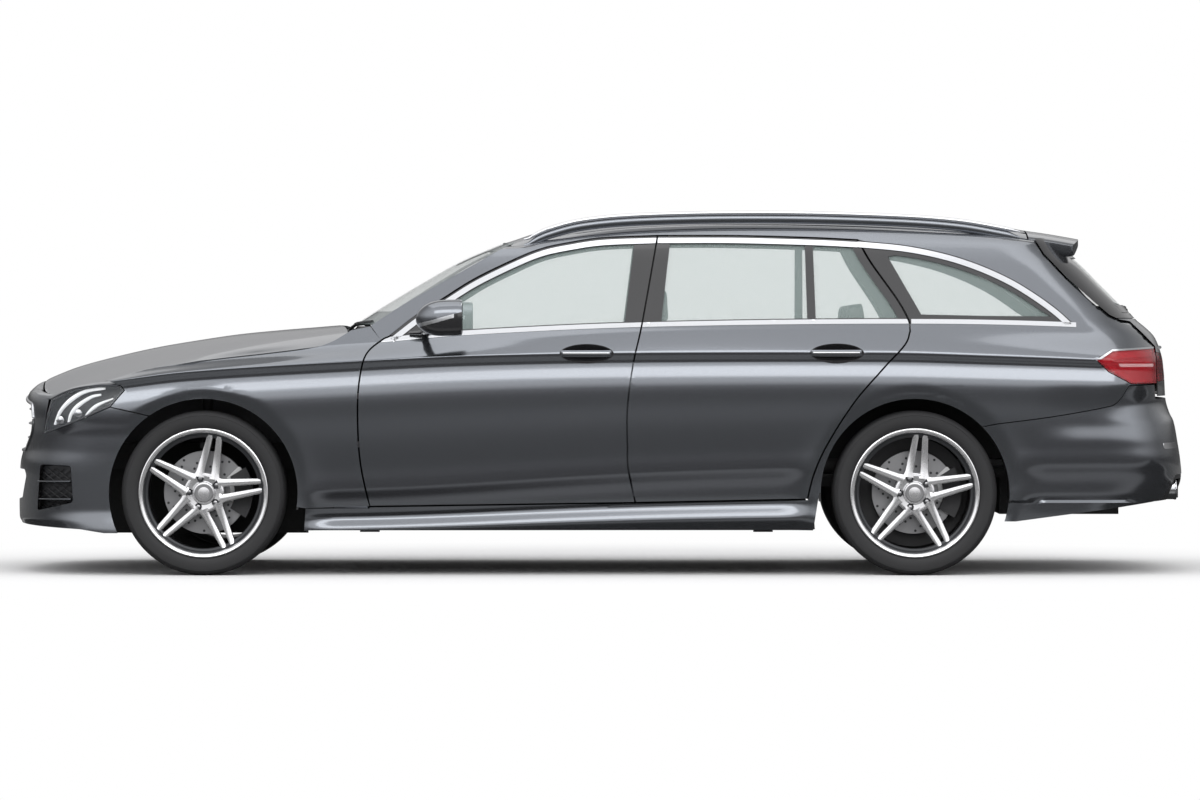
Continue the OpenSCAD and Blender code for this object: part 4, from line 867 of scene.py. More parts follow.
def door_pieces(name, outline, bowl, top_line, strip_ends):
    clear = shrink(outline, 3.5)
    deep = shrink(outline, 22)
    hinge = HINGES[name]
    skin = side_panel(f"door_{name}_skin", clear, 0, 40, paint)
    keep_in(skin, below_belt(-1100, 1400, 1))
    box = side_panel(f"door_{name}_box", deep, 39, 106, satin_black, step=45)
    keep_in(box, below_belt(-1100, 1400, -6))
    for z in (540, 740):
        for piece in (skin, box):
            cut(piece, block(hinge[0] - 110, hinge[0] + 17, hinge[1] - 9.2, hinge[1] + 140, z - 30, z + 30))
    y = -float(side_y(bowl[0], bowl[1]))
    cut(skin, ellipsoid((bowl[0], y - 4, bowl[1]), (113, 34, 41)))
    frame_piece = side_panel(f"door_{name}_frame", clear, 2.5, 38, dark_paint)
    keep_in(frame_piece, above_belt(-1100, 1400, 1))
    room = window_room(name)
    cut(frame_piece, room, keep=True)
    glass = side_panel(f"door_{name}_glass", clear, 9, 13.5, window)
    cut(glass, room, "INTERSECT")
    strips = []
    for line in (ribbon(top_line, 9, 31), belt_line(*strip_ends, 1) + belt_line(*strip_ends, 20)[::-1]):
        strip = side_panel(f"door_{name}_strip", line, -1.5, 6, chrome, step=18)
        strips.append(keep_in(strip, clear))
    strip = merged(f"door_{name}_strips", strips)
    return {"skin": skin, "box": box, "frame": frame_piece, "glass": glass, "strips": strip}


SLOTS = {"skin": "paint", "box": "black_trim", "frame": "black_trim", "glass": "glass",
         "strips": "bright_trim"}


def hang(name, pieces):
    for part, piece in pieces.items():
        right = other_side(piece, f"door_{name}_right_{part}")
        piece.name = f"door_{name}_left_{part}"
        for side_name, thing in (("left", piece), ("right", right)):
            nodes = {"skin": (f"door_{name}_{side_name}",),
                     "glass": (f"glass_{name}_{side_name}",)}.get(part, ())
            fit(thing, f"door_{name}_{side_name}", SLOTS.get(part, "black_trim"), *nodes)


# %% Handles and bars
def rounded_box(name, x0, x1, y0, y1, z0, z1, round_by, material, segments=3):
    bm = bmesh.new()
    bmesh.ops.create_cube(bm, size=1)
    bmesh.ops.scale(bm, vec=Vector((x1 - x0, y1 - y0, z1 - z0)) * MM, verts=bm.verts[:])
    bmesh.ops.translate(bm, vec=Vector((x0 + x1, y0 + y1, z0 + z1)) * MM / 2, verts=bm.verts[:])
    bmesh.ops.bevel(bm, geom=bm.edges[:], offset=round_by * MM, segments=segments, profile=0.5,
                    affect="EDGES", material=-1)
    return publish(name, bm, material, 40)


def handle(name, bowl):
    """A grip with a bright strip along its middle, standing across its bowl."""
    x, z = bowl
    y = -float(side_y(x, z))
    grip = rounded_box(f"{name}_grip", x - 108, x + 104, y - 3, y + 11, z - 14, z + 15, 6, paint)
    for v in grip.data.vertices:
        bend = ((v.co.x / MM - x) / 110) ** 2
        v.co.y += float(-side_y(v.co.x / MM, z) - y) * MM + bend * 0.004
    bright = rounded_box(f"{name}_bar", x - 100, x + 96, y - 6, y + 2, z - 5, z + 6, 3, chrome)
    for v in bright.data.vertices:
        bend = ((v.co.x / MM - x) / 110) ** 2
        v.co.y += float(-side_y(v.co.x / MM, z) - y) * MM + bend * 0.004
    # Gloss black shell lining the bowl: painted shade, since the real bowl is body colour
    scoop = ellipsoid((x, y - 3, z), (112.5, 32, 40.5))
    cut(scoop, ellipsoid((x, y - 5, z), (110, 30, 38.5)))
    cut(scoop, block(x - 130, x + 130, y - 60, y + 3, z - 60, z + 60))
    scoop.data.materials.clear()
    scoop.data.materials.append(dark_paint)
    scoop.name = f"{name}_scoop"
    return grip, bright, scoop


front_door = door_pieces("front", FRONT_DOOR, (-55, 916), ROOF_SHUT, (-905, 175))
rear_door = door_pieces("rear", REAR_DOOR, (978, 918), ROOF_SHUT_REAR, (165, 1290))
division = side_panel("rear_division", [(858, 1040), (893, 1040), (886, 1372), (853, 1372)], 3, 20,
                      dark_paint)
keep_in(division, above_belt(700, 1100, 18))
rear_door["division"] = division
sail = side_panel("mirror_sail", [(-900, 985), (-868, 1003), (-690, 1128), (-684, 1020), (-688, 1008),
                                  (-840, 998)], 2, 20, dark_paint)
for label, doors, bowl in (("front", front_door, (-55, 916)), ("rear", rear_door, (978, 918))):
    grip, bright, scoop = handle(label, bowl)
    doors.update(grip=grip, bar=bright, scoop=scoop)
SLOTS.update(grip="paint", bar="bright_trim", scoop="black_trim", division="black_trim", sail="black_trim")
front_door["sail"] = sail
hang("front", front_door)
hang("rear", rear_door)

# %% [markdown]
# ## Quarter windows
# Behind the rear door the glass is one pane with a broad black border baked on. The border is its own thin
# piece, with the clear pane behind it, and the bright strip runs round its top and bottom.

# %% Quarter windows
border = side_panel("quarter_border", shrink(quarter_room, 1.5), 2.5, 36, dark_paint)
clear_line = [p for p in shift(QUARTER_TOP, 50) if 1205 < p[0] < 1880 and p[1] > 1086]
clear_room = [(1198, 1318)] + clear_line + [(1870, 1070), (1600, 1072), (1330, 1078)]
carve(border, clear_room)
pane = side_panel("quarter_pane", shrink(quarter_room, 6), 9, 13.5, window)
keep_in(pane, shrink(clear_room, -1))
edge = [side_panel("q", ribbon(QUARTER_TOP, 7, 30), -1.5, 6, chrome, step=16),
        side_panel("q", belt_line(1288, 1972, 1) + belt_line(1288, 1972, 20)[::-1], -1.5, 6, chrome, step=16)]
keep_in(edge[0], above_belt(1000, 2100, 10))
trim = merged("quarter_strips", edge)
for piece, name, slot, nodes in ((border, "quarter_borders", "black_trim", ()),
                                 (pane, "quarter_panes", "glass", ("quarter_windows",)),
                                 (trim, "quarter_strips", "bright_trim", ())):
    piece.name = name
    fit(both_sides(piece), "body", slot, *nodes)
print("quarter windows ready")

# %% [markdown]
# ## Hood and roof
# The hood rolls down at its side edges to meet the fender. The roof is a long shallow crown with a bright rail
# on each side that hides the seam between roof and side.

# %% Hood
hood_line = sorted((p[0], p[1]) for p in HOOD_SIDE)
hood_half = [(-2362, 0), (-2357, 200), (-2335, 400), (-2282, 590), (-2191, 700), (-2060, 790), (-1950, 828),
             (-1800, 836), (-1600, 832), (-1400, 826), (-1250, 826), (-1190, 818), (-1150, 800),
             (-1110, 752), (-1070, 676), (-1052, 600), (-1062, 450), (-1085, 250), (-1105, 100), (-1111, 0)]
hood_flow = flow(hood_half, 5)
hood_outline = [(x, -y) for x, y in hood_flow[::-1]] + hood_flow[1:-1]
edge_knots = sorted((x, y) for x, y in hood_flow if -2100 < x < -1150 and y > 740)


def hood_skin(x, y, d):
    edge_at = curve(x, edge_knots)
    lower = hood_z(x, edge_at) - (curve(x, hood_line) + 3)
    part = ease((x + 2150) / 200) * ease((-1120 - x) / 90)
    roll = np.maximum(0, lower) * part * ease((np.abs(y) - (edge_at - 110)) / 110) ** 1.5
    return np.stack([x, y, hood_z(x, y) - roll - d], -1)


hood = sheet("hood_skin", hood_skin, spread(-2380, -1030, 16), spread(-870, 870, 16), 0, 9, paint)
cut(hood, bar(shrink(hood_outline, 3), "Z", 600, 1200), "INTERSECT")
inner = sheet("hood_liner", hood_skin, spread(-2300, -1130, 45), spread(-740, 740, 45), 14, 26, liner_felt)
cut(inner, bar(shrink(shrink(hood_outline, 45), 25), "Z", 600, 1200), "INTERSECT")
fit(hood, "hood", "paint", "hood")
fit(inner, "hood", "liner")
hinge_arms = []
for y in (-420, 420):
    hinge_arms.append(rounded_box("arm", -1145, -1079, y - 7, y + 7, 986, 998, 2, cast_grey))
    bm = bmesh.new()
    bmesh.ops.create_cone(bm, cap_ends=True, segments=32, radius1=0.009, radius2=0.009, depth=0.014)
    bmesh.ops.rotate(bm, matrix=Matrix.Rotation(math.radians(90), 3, "X"), verts=bm.verts[:])
    bmesh.ops.translate(bm, vec=(-1.075, y * MM, 1.0), verts=bm.verts[:])
    hinge_arms.append(publish("ring", bm, cast_grey))
fit(merged("hood_hinge_arms", hinge_arms), "hood", "hinge_steel")
print("hood", len(hood.data.polygons), "faces")

# %% Roof
roof = sheet("roof_skin", roof_surface, [-414] + spread(-405, 1770, 24) + [1786.5], spread(-562, 562, 20), 0,
             34, paint)
for y in (-450, 450):
    cut(roof, block(1700, 1800, y - 22, y + 22, 1300, 1422))
fit(roof, "body", "paint", "roof_panel")
lining = sheet("headliner", roof_surface, spread(-370, 1760, 60), spread(-520, 520, 40), 37, 44, headliner)
for y in (-450, 450):
    cut(lining, block(1690, 1800, y - 26, y + 26, 1300, 1460))
fit(lining, "body", "upholstery")
print("roof ready")

# %% Roof rails
RAIL = [(-305, 1392), (-220, 1431), (-73, 1469), (175, 1491), (671, 1500), (1167, 1490), (1497, 1468),
        (1748, 1425)]
RAIL_IN = [(-324, 52), (0, 60), (1400, 60), (1760, 58)]


def rail_part(name, lift, high, half, material):
    """A rounded section carried along the roof edge, slimmer at its ends."""
    bm = bmesh.new()
    xs, angles = spread(-318, 1756, 18), list(range(0, 360, 24))
    bmesh.ops.create_grid(bm, x_segments=len(xs) - 1, y_segments=len(angles), size=0.5)
    spots = np.array([v.co for v in bm.verts])
    x = np.array(xs)[np.rint((spots[:, 0] + 0.5) * (len(xs) - 1)).astype(int)]
    t = np.radians(np.rint((spots[:, 1] + 0.5) * len(angles)) % len(angles) * 24)
    size = 0.35 + 0.65 * np.minimum(ease((x + 324) / 60), ease((1762 - x) / 60))
    y = curve(x, NARROWING) - 650 + curve(x, RAIL_IN) + np.cos(t) * half * size
    z = curve(x, RAIL) + lift + np.sin(t) * high * size - 4 * (1 - size)
    for v, p in zip(bm.verts, np.stack([x, y, z], -1) * MM):
        v.co = p
    bmesh.ops.remove_doubles(bm, verts=bm.verts[:], dist=0.00005)
    bmesh.ops.holes_fill(bm, edges=[e for e in bm.edges if e.is_boundary], sides=0)
    bmesh.ops.recalc_face_normals(bm, faces=bm.faces[:])
    return both_sides(publish(name, bm, material, 40))


fit(rail_part("rails", 3, 9, 12, satin_chrome), "body", "bright_trim", "roof_rails")
fit(rail_part("rail_bases", -23, 18, 8, paint), "body", "paint")
print("rails ready")

# %% Rods, turned pieces and outlines on the ends
def wrapped(name, lines, around, spot, material, closed=False, smooth=40):
    """A grid rolled into a tube: spot(k, j) gives the place of ring k and corner j."""
    bm = bmesh.new()
    bmesh.ops.create_grid(bm, x_segments=lines, y_segments=around, size=0.5)
    marks = np.array([v.co for v in bm.verts])
    k = np.rint((marks[:, 0] + 0.5) * lines).astype(int)
    j = np.rint((marks[:, 1] + 0.5) * around).astype(int) % around
    for v, kk, jj in zip(bm.verts, k, j):
        v.co = Vector(spot(kk % lines if closed else kk, jj)) * MM
    bmesh.ops.remove_doubles(bm, verts=bm.verts[:], dist=0.00002)
    bmesh.ops.holes_fill(bm, edges=[e for e in bm.edges if e.is_boundary], sides=0)
    bmesh.ops.recalc_face_normals(bm, faces=bm.faces[:])
    return publish(name, bm, material, smooth)


def rod(name, points, radius, material, around=12, flat=1.0, closed=False):
    """A rod along points. The radius may be one number or one for each point."""
    p = np.array(points, float)
    n = len(p)
    size = np.full(n, radius, float) if np.isscalar(radius) else np.array(radius, float)
    ahead = np.roll(p, -1, 0) - np.roll(p, 1, 0) if closed else np.gradient(p, axis=0)
    ahead /= np.linalg.norm(ahead, axis=1)[:, None]
    up = np.array([0, 0, 1.0]) if abs(ahead[:, 2]).mean() < 0.8 else np.array([1.0, 0, 0])
    across = np.cross(ahead, up)
    across /= np.linalg.norm(across, axis=1)[:, None]
    rise = np.cross(across, ahead)
    turn = [2 * math.pi * j / around for j in range(around)]

    def spot(k, j):
        return p[k] + size[k] * (math.cos(turn[j]) * across[k] + math.sin(turn[j]) * flat * rise[k])
    return wrapped(name, n if closed else n - 1, around, spot, material, closed)


def turned(name, profile, material, center, steps=96, smooth=30):
    """A profile of (radius, y) pairs turned about the Y axis through center."""
    bm = bmesh.new()
    dots = [bm.verts.new(Vector((r, y, 0)) * MM) for r, y in profile]
    edges = [bm.edges.new((a, b)) for a, b in zip(dots, dots[1:])]
    bmesh.ops.spin(bm, geom=dots + edges, cent=(0, 0, 0), axis=(0, 1, 0), angle=2 * math.pi, steps=steps,
                   use_merge=True)
    bmesh.ops.remove_doubles(bm, verts=bm.verts[:], dist=0.00002)
    bmesh.ops.holes_fill(bm, edges=[e for e in bm.edges if e.is_boundary], sides=0)
    bmesh.ops.recalc_face_normals(bm, faces=bm.faces[:])
    bmesh.ops.translate(bm, verts=bm.verts[:], vec=Vector(center) * MM)
    return publish(name, bm, material, smooth)


def nose_at(y, z, d):
    """The place on the nose at a sideways distance y."""
    w = float(core_y(NOSE_START, z)) - d
    a = math.degrees(math.asin(min(1.0, abs(y) / w) ** (NOSE_N / 2))) * (1 if y > 0 else -1)
    return tuple(nose_surface(np.array(a), np.array(float(z)), d))


def tail_at(y, z, d):
    x = float(tail_start(z))
    w = float(core_y(x, z)) - d
    a = math.degrees(math.asin(min(1.0, abs(y) / w) ** (TAIL_N / 2))) * (1 if y > 0 else -1)
    return tuple(tail_surface(np.array(a), np.array(float(z)), d))


def dense(outline, gap=25, closed=True):
    """The same outline with extra points, none further apart than gap."""
    line = []
    for a, b in zip(outline, outline[1:] + outline[:1] if closed else outline[1:]):
        n = max(1, int(math.hypot(b[0] - a[0], b[1] - a[1]) // gap))
        line += [(a[0] + (b[0] - a[0]) * k / n, a[1] + (b[1] - a[1]) * k / n) for k in range(n)]
    return line if closed else line + [outline[-1]]


def softened(outline, r, steps=5):
    """The outline with each corner rounded off."""
    line = []
    n = len(outline)
    for k in range(n):
        a, b, c = (np.array(outline[(k + s) % n], float) for s in (-1, 0, 1))
        ra, rc = min(r, np.linalg.norm(a - b) / 2), min(r, np.linalg.norm(c - b) / 2)
        p, q = b + (a - b) / np.linalg.norm(a - b) * ra, b + (c - b) / np.linalg.norm(c - b) * rc
        for s in range(steps + 1):
            t = s / steps
            line.append(tuple((1 - t) ** 2 * p + 2 * t * (1 - t) * b + t * t * q))
    return line


def mirror_y(outline):
    return [(-a, b) for a, b in outline][::-1]


print("rod and turning tools ready")

# %% [markdown]
# ## The front end
# The bumper skin is one thin moulding that wraps from wheel to wheel. The grille and the lower intake are real
# holes with a net and bright blades behind them.

# %% Front bumper skin
GRILLE = softened([(-430, 503), (430, 503), (545, 575), (575, 645), (530, 708), (0, 744), (-530, 708),
                   (-575, 645), (-545, 575)], 24)
LOWER = softened([(-430, 300), (430, 300), (520, 405), (480, 430), (-480, 430), (-520, 405)], 16)
SIDE_INTAKE = softened([(-2345, 262), (-2180, 300), (-2190, 452), (-2330, 455)], 14)
nose_top = [(-1700, 657), (-1864, 657), (-2022, 693), (-2157, 637), (-2317, 580), (-2302, 670), (-2292, 725),
            (-2372, 755), (-2600, 757), (-2600, 900), (-1700, 900)]
nose_bottom = [(-1500, 100), (-2028, 172), (-2150, 190), (-2450, 203), (-2600, 203), (-2600, 100)]
angles = sorted(set(spread(-133, -90, 1.8) + spread(-90, 90, 2.2) + spread(90, 133, 1.8)))


def nose_part(name, z0, z1, d0, d1, material, step=11):
    return sheet(name, nose_surface, angles, spread(z0, z1, step), d0, d1, material)


bumper = nose_part("front_bumper_skin", 175, 797, 0, 7, paint)
cut(bumper, bar(nose_top, "Y", -1100, 1100))
cut(bumper, bar(nose_bottom, "Y", -1100, 1100))
cut(bumper, bar(circle_outline(FRONT_AXLE, HUB, ARCH), "Y", -1100, 1100))
for outline in (GRILLE, LOWER):
    cut(bumper, bar(outline, "X", -2600, -2200))
for y0, y1 in ((-1000, -480), (480, 1000)):
    cut(bumper, bar(SIDE_INTAKE, "Y", y0, y1))
cut(bumper, bar([(-2600, 175), (-1500, 175), (-1500, 796), (-2600, 796)], "Y", -1100, 1100), "INTERSECT")
fit(bumper, "body", "paint", "front_bumper")
walls = []
for outline in (GRILLE, LOWER):
    wall = nose_part("wall", 280, 780, 6.5, 42, satin_black, 20)
    cut(wall, bar(shrink(outline, -5), "X", -2600, -2100), "INTERSECT")
    cut(wall, bar(outline, "X", -2600, -2100))
    walls.append(wall)
side_wall = nose_part("wall", 240, 480, 6.5, 60, satin_black, 20)
cut(side_wall, bar(shrink(SIDE_INTAKE, -5), "Y", -1100, 1100), "INTERSECT")
cut(side_wall, bar(SIDE_INTAKE, "Y", -1100, 1100))
cut(side_wall, bar([(-470, 200), (470, 200), (470, 500), (-470, 500)], "X", -2600, -1800))
walls.append(side_wall)
fit(merged("front_intake_walls", walls), "body", "black_trim")
print("bumper skin", len(bumper.data.polygons), "faces")

# %% Shoulder between the hood and the nose, lamps and fenders
LAMP_TOP = [(-2292, 725), (-2191, 769), (-2070, 788), (-1985, 790), (-1856, 855), (-1592, 889)]


def along(points, count):
    """The same line as count evenly spaced points."""
    p = np.array(points, float)
    run = np.concatenate([[0], np.cumsum(np.linalg.norm(np.diff(p, axis=0), axis=1))])
    at = np.linspace(0, run[-1], count)
    return np.stack([np.interp(at, run, p[:, k]) for k in range(p.shape[1])], -1)


outer_line = []
for y in spread(0, 700, 50):
    z = 753.0
    for k in range(3):
        x = nose_at(y, z, 0)[0]
        z = 753 - max(0, x + 2372) * 28 / 80
    outer_line.append(nose_at(y, z, 0.5))
for x in spread(-2285, -1650, 20):
    z = float(curve(x, LAMP_TOP)) if x < -1985 else float(curve(x, HOOD_KNOTS)) - 3
    outer_line.append((x, float(side_y(x, z)) - 1, z))
front_run = [p for p in hood_flow if p[0] < -1650 and p[1] > -1]
inner_line = [(x - (4 if y < 600 else 1), y + (5 if y > 500 else 0),
               min(float(hood_z(x, y)) - 3, float(curve(x, HOOD_KNOTS)) + 1 if x > -1985 else 2000)) for x,
              y in front_run]
STATIONS = 90
low_side, high_side = along(outer_line, STATIONS), along(inner_line, STATIONS)


def shoulder_surface(s, t, d):
    k = np.clip(np.rint(s).astype(int), 0, STATIONS - 1)
    a, b = low_side[k], high_side[k]
    wide = np.linalg.norm(a[:, :2] - b[:, :2], axis=1)
    p = a + (b - a) * t[:, None]
    front = np.clip((80 - s) / 40, 0, 1)
    p[:, 2] += 4 * t * (1 - t) * (0.16 * wide) * front - d
    return np.stack([p[:, 0], -p[:, 1], p[:, 2]], -1)


shoulder = sheet("nose_shoulder", shoulder_surface, list(range(STATIONS)), spread(0, 1, 0.1), 0, 6, paint)
fit(both_sides(shoulder), "body", "paint")
print("shoulder ready")

# %% Grille, nets and blades
def net(outline, d, gap, lean, thick, material, name):
    """Crossing rods that fill an outline on the nose."""
    p = np.array(outline)
    rods = []
    low, high = p[:, 1].min(), p[:, 1].max()
    for way in (-1, 1):
        for start in np.arange(p[:, 0].min() - (high - low) * lean, p[:, 0].max() + (high - low) * lean, gap):
            line = [nose_at(start + way * (z - low) * lean, z, d) for z in spread(low, high, 22)
                    if p[:, 0].min() - 6 < start + way * (z - low) * lean < p[:, 0].max() + 6]
            if len(line) > 1:
                rods.append(rod("net", line, thick, material, around=5))
    piece = merged(name, rods)
    return piece


grille_net = net([(-570, 506), (570, 506), (570, 738), (-570, 738)], 34, 26, 0.55, 2.4, satin_black,
                 "grille_net")
lower_net = net([(-505, 305), (505, 305), (505, 425), (-505, 425)], 34, 30, 0.6, 2.4, satin_black,
                "lower_net")
backing = [nose_part("back", 300, 440, 46, 48, lamp_dark, 40),
           nose_part("back", 500, 750, 46, 48, lamp_dark, 40)]
for thing, reach in zip(backing, (510, 572)):
    cut(thing, bar([(-reach, 200), (reach, 200), (reach, 900), (-reach, 900)], "X", -2600, -2000),
        "INTERSECT")
fit(merged("front_nets", [grille_net, lower_net]), "body", "black_trim")
fit(merged("front_backing", backing), "body", "black_trim")
blades = []
for z in (560, 620, 680):
    half = 545 if z == 620 else 505 if z == 560 else 535
    line = [nose_at(y, z, 22) for y in spread(-half, half, 16)]
    blades.append(rod("blade", line, 9, chrome, around=12, flat=0.55))
ring = [nose_at(y, z, 0.5) for y, z in dense(shrink(GRILLE, 4), 18)]
blades.append(rod("ring", ring, 7, chrome, around=10, closed=True))
fit(merged("grille_blades", blades), "body", "bright_trim", "front_grille")
fins = []
for z in (385, 311):
    for side_of in (-1, 1):
        p = []
        for x in spread(-2335, -2186, 12):
            y = float(side_y(x, z)) - 22
            p.append((x, side_of * y, z + (x + 2260) * 0.02))
        fins.append(rod("fin", p, 13, paint, around=12, flat=0.42))
fit(merged("intake_fins", fins), "body", "paint")
mesh_rods = []
for k in range(9):
    for way in (-1, 1):
        line = [(x, -(float(side_y(x, z)) - 46), z) for x,
                z in [(-2340 + t * 155, 262 + (k - 1.5 + way * (t - 0.5) * 4) * 27)
                      for t in np.linspace(0, 1, 9)] if 268 < z < 450]
        if len(line) > 1:
            mesh_rods.append(rod("net", line, 2.2, satin_black, around=5))
intake_net = merged("side_nets", mesh_rods)
fit(both_sides(intake_net), "body", "black_trim")
back = side_panel("intake_back", [(-2338, 270), (-2186, 303), (-2194, 448), (-2326, 450)], 56, 59, lamp_dark,
                  step=20, flat=True)
back.name = "intake_backs"
fit(both_sides(back), "body", "black_trim")
print("grille and intakes ready")

# %% [markdown]
# ## Lamps
# A lamp is a dark bowl with its light parts inside and a clear or red cover flush with the body. The covers
# are thin shells, so the parts inside show through.

# %% Headlamps
def side_rod(line, d, radius, material, around=10, flat=1.0):
    """A rod on the side of the body through points drawn as (x, z)."""
    return rod("rod", [(x, -float(side_y(x, z)) + d, z) for x, z in line], radius, material, around, flat)


cover = side_panel("headlamp_cover", shrink(LAMP_FRONT, 2), 0.5, 3.5, lens, step=10, flat=True)
bowl = side_panel("headlamp_bowl", shrink(LAMP_FRONT, 2), 4, 70, lamp_dark, step=14, flat=True)
cut(bowl, bar(shrink(LAMP_FRONT, 9), "Y", -1100, 0))
back = side_panel("headlamp_back", shrink(LAMP_FRONT, 3), 70, 74, lamp_dark, step=14, flat=True)
inside = []
for line, sizes in (([(-2262, 622), (-2240, 672), (-2209, 709), (-2165, 742), (-2116, 763), (-2045, 773)],
                     (6, 12, 8)), ([(-2200, 632), (-2188, 668), (-2160, 700), (-2104, 736), (-2062, 746)],
                                   (6, 11, 6)), ([(-2130, 652), (-2104, 682), (-2067, 708), (-2010, 730)],
                                                 (5, 10, 4))):
    path_line = flow(line, 5)
    widths = np.interp(np.linspace(0, 2, len(path_line)), (0, 1, 2), sizes)
    inside.append(side_rod(path_line, 15, widths, light_strip, flat=0.8))
cells = []
for x, z, r in ((-2240, 640, 20), (-2160, 668, 20)):
    y = float(side_y(x, z))
    cells.append(turned("cell", [(2, 0), (r - 4, 4), (r, 12), (r + 4, 30), (r + 1, 30), (r - 3, 14), (2, 8)],
                        chrome, (x, -(y - 22), z), 40))
for name, pieces, slot, nodes in (("headlamp_covers", [cover], "lamp_clear", ("headlamps",)),
                                  ("headlamp_bowls", [bowl, back], "black_trim", ()),
                                  ("headlamp_strips", inside, "lamp_clear", ()),
                                  ("headlamp_cells", cells, "bright_trim", ())):
    piece = merged(name, pieces)
    fit(both_sides(piece), "body", slot, *nodes)
print("headlamps ready")

# %% Tail lamps
red_cover = side_panel("tail_lamp_cover", shrink(LAMP_REAR, 2), 0.5, 4, red_lens, step=10, flat=True)
red_bowl = side_panel("tail_lamp_bowl", shrink(LAMP_REAR, 2), 4, 50, lamp_dark, step=14, flat=True)
cut(red_bowl, bar(shrink(LAMP_REAR, 8), "Y", -1100, 0))
red_back = side_panel("tail_lamp_back", shrink(LAMP_REAR, 3), 46, 50, red_deep, step=14, flat=True)
arrow = side_panel("tail_lamp_arrow", [(2068, 890), (2125, 920), (2300, 930), (2300, 905), (2140, 897),
                                       (2112, 882), (2140, 850), (2195, 815), (2300, 812), (2300, 797),
                                       (2190, 797), (2120, 838)], 10, 24, red_painted_glow, step=12, flat=True)
white_bar = side_panel("tail_lamp_bar", [(2150, 861), (2300, 861), (2300, 874), (2142, 874)], 12, 24,
                       light_strip, step=12, flat=True)
top_strip = side_panel("tail_lamp_strip", [(2050, 893), (2116, 933.5), (2311, 945), (2311, 937), (2118, 926),
                                           (2066, 892)], -1, 4, chrome, step=10, flat=True)
for name, pieces, slot, nodes in (("tail_lamp_covers", [red_cover], "lamp_red", ("tail_lamps",)),
                                  ("tail_lamp_bowls", [red_bowl], "black_trim", ()),
                                  ("tail_lamp_backs", [red_back, arrow], "lamp_red", ()),
                                  ("tail_lamp_bars", [white_bar], "lamp_clear", ()),
                                  ("tail_lamp_strips", [top_strip], "bright_trim", ())):
    piece = merged(name, pieces)
    fit(both_sides(piece), "body", slot, *nodes)
print("tail lamps ready")

# %% [markdown]
# ## Tailgate
# The gate wraps round the rear end. It carries the rear glass, a roof spoiler, the inner half of each tail
# lamp, a bright bar, and a recess for a number plate, which is left blank.

# %% Tailgate skin
gate_side = shift(GATE_SHUT, 3.5) if shift(GATE_SHUT, 3.5)[4][0] > GATE_SHUT[4][0] else shift(GATE_SHUT, -3.5)
gate_outline = gate_side + [(2320, 735), (2600, 735), (2600, 1500), (1796, 1500)]
REAR_GLASS = softened([(-640, 1085), (640, 1085), (600, 1150), (500, 1350), (-500, 1350), (-600, 1150)], 30)
GATE_LAMP = softened([(430, 806), (640, 800), (720, 800), (720, 925), (450, 915)], 8)
PLATE = softened([(-300, 792), (300, 792), (285, 918), (-285, 918)], 16)
tail_angles = spread(-89.9, 89.9, 2.4)


def tail_part(name, z0, z1, d0, d1, material, step=12, spots=None):
    return sheet(name, tail_surface, spots or tail_angles, spread(z0, z1, step), d0, d1, material)


gate = tail_part("tailgate_skin", 739, 1399, 0, 9, paint)
cut(gate, bar(gate_outline, "Y", -1100, 1100), "INTERSECT")
for outline in (REAR_GLASS, GATE_LAMP, mirror_y(GATE_LAMP), PLATE):
    cut(gate, bar(outline, "X", 1700, 2600))
gate_top = tail_part("tailgate_top", 1050, 1399, 0.5, 9, dark_paint)
cut(gate_top, bar(gate_outline, "Y", -1100, 1100), "INTERSECT")
cut(gate_top, bar(REAR_GLASS, "X", 1700, 2600))
cut(gate_top, bar([(1600, 1064), (2600, 1064), (2600, 1500), (1600, 1500)], "Y", -1100, 1100), "INTERSECT")
cut(gate, bar([(1600, 1061), (2600, 1061), (2600, 1500), (1600, 1500)], "Y", -1100, 1100))
fit(gate_top, "tailgate", "black_trim")
fit(gate, "tailgate", "paint", "tailgate")
card = tail_part("tailgate_card", 770, 1380, 10, 40, satin_black, 40, spread(-84, 84, 6))
inset = shift(GATE_SHUT, 16 if gate_side[4][0] > GATE_SHUT[4][0] and shift(GATE_SHUT, 3.5) == gate_side
              else -16)
cut(card, bar(inset + [(2335, 760), (2600, 760), (2600, 1400), (1830, 1400)], "Y", -1100, 1100), "INTERSECT")
cut(card, bar(shrink(REAR_GLASS, 6), "X", 1700, 2600))
cut(card, bar(shrink(PLATE, -2), "X", 1700, 2600))
fit(card, "tailgate", "black_trim")
rear_glass = tail_part("tailgate_pane", 1080, 1355, 13, 17, window, 20)
cut(rear_glass, bar(shrink(REAR_GLASS, 3), "X", 1700, 2600), "INTERSECT")
frit = tail_part("tailgate_glass_border", 1080, 1355, 2, 13, dark_paint, 20)
cut(frit, bar(shrink(REAR_GLASS, 2), "X", 1700, 2600), "INTERSECT")
cut(frit, bar(shrink(REAR_GLASS, 34), "X", 1700, 2600))
fit(rear_glass, "tailgate", "glass", "tailgate_glass")
fit(frit, "tailgate", "black_trim")
print("tailgate", len(gate.data.polygons), "faces")

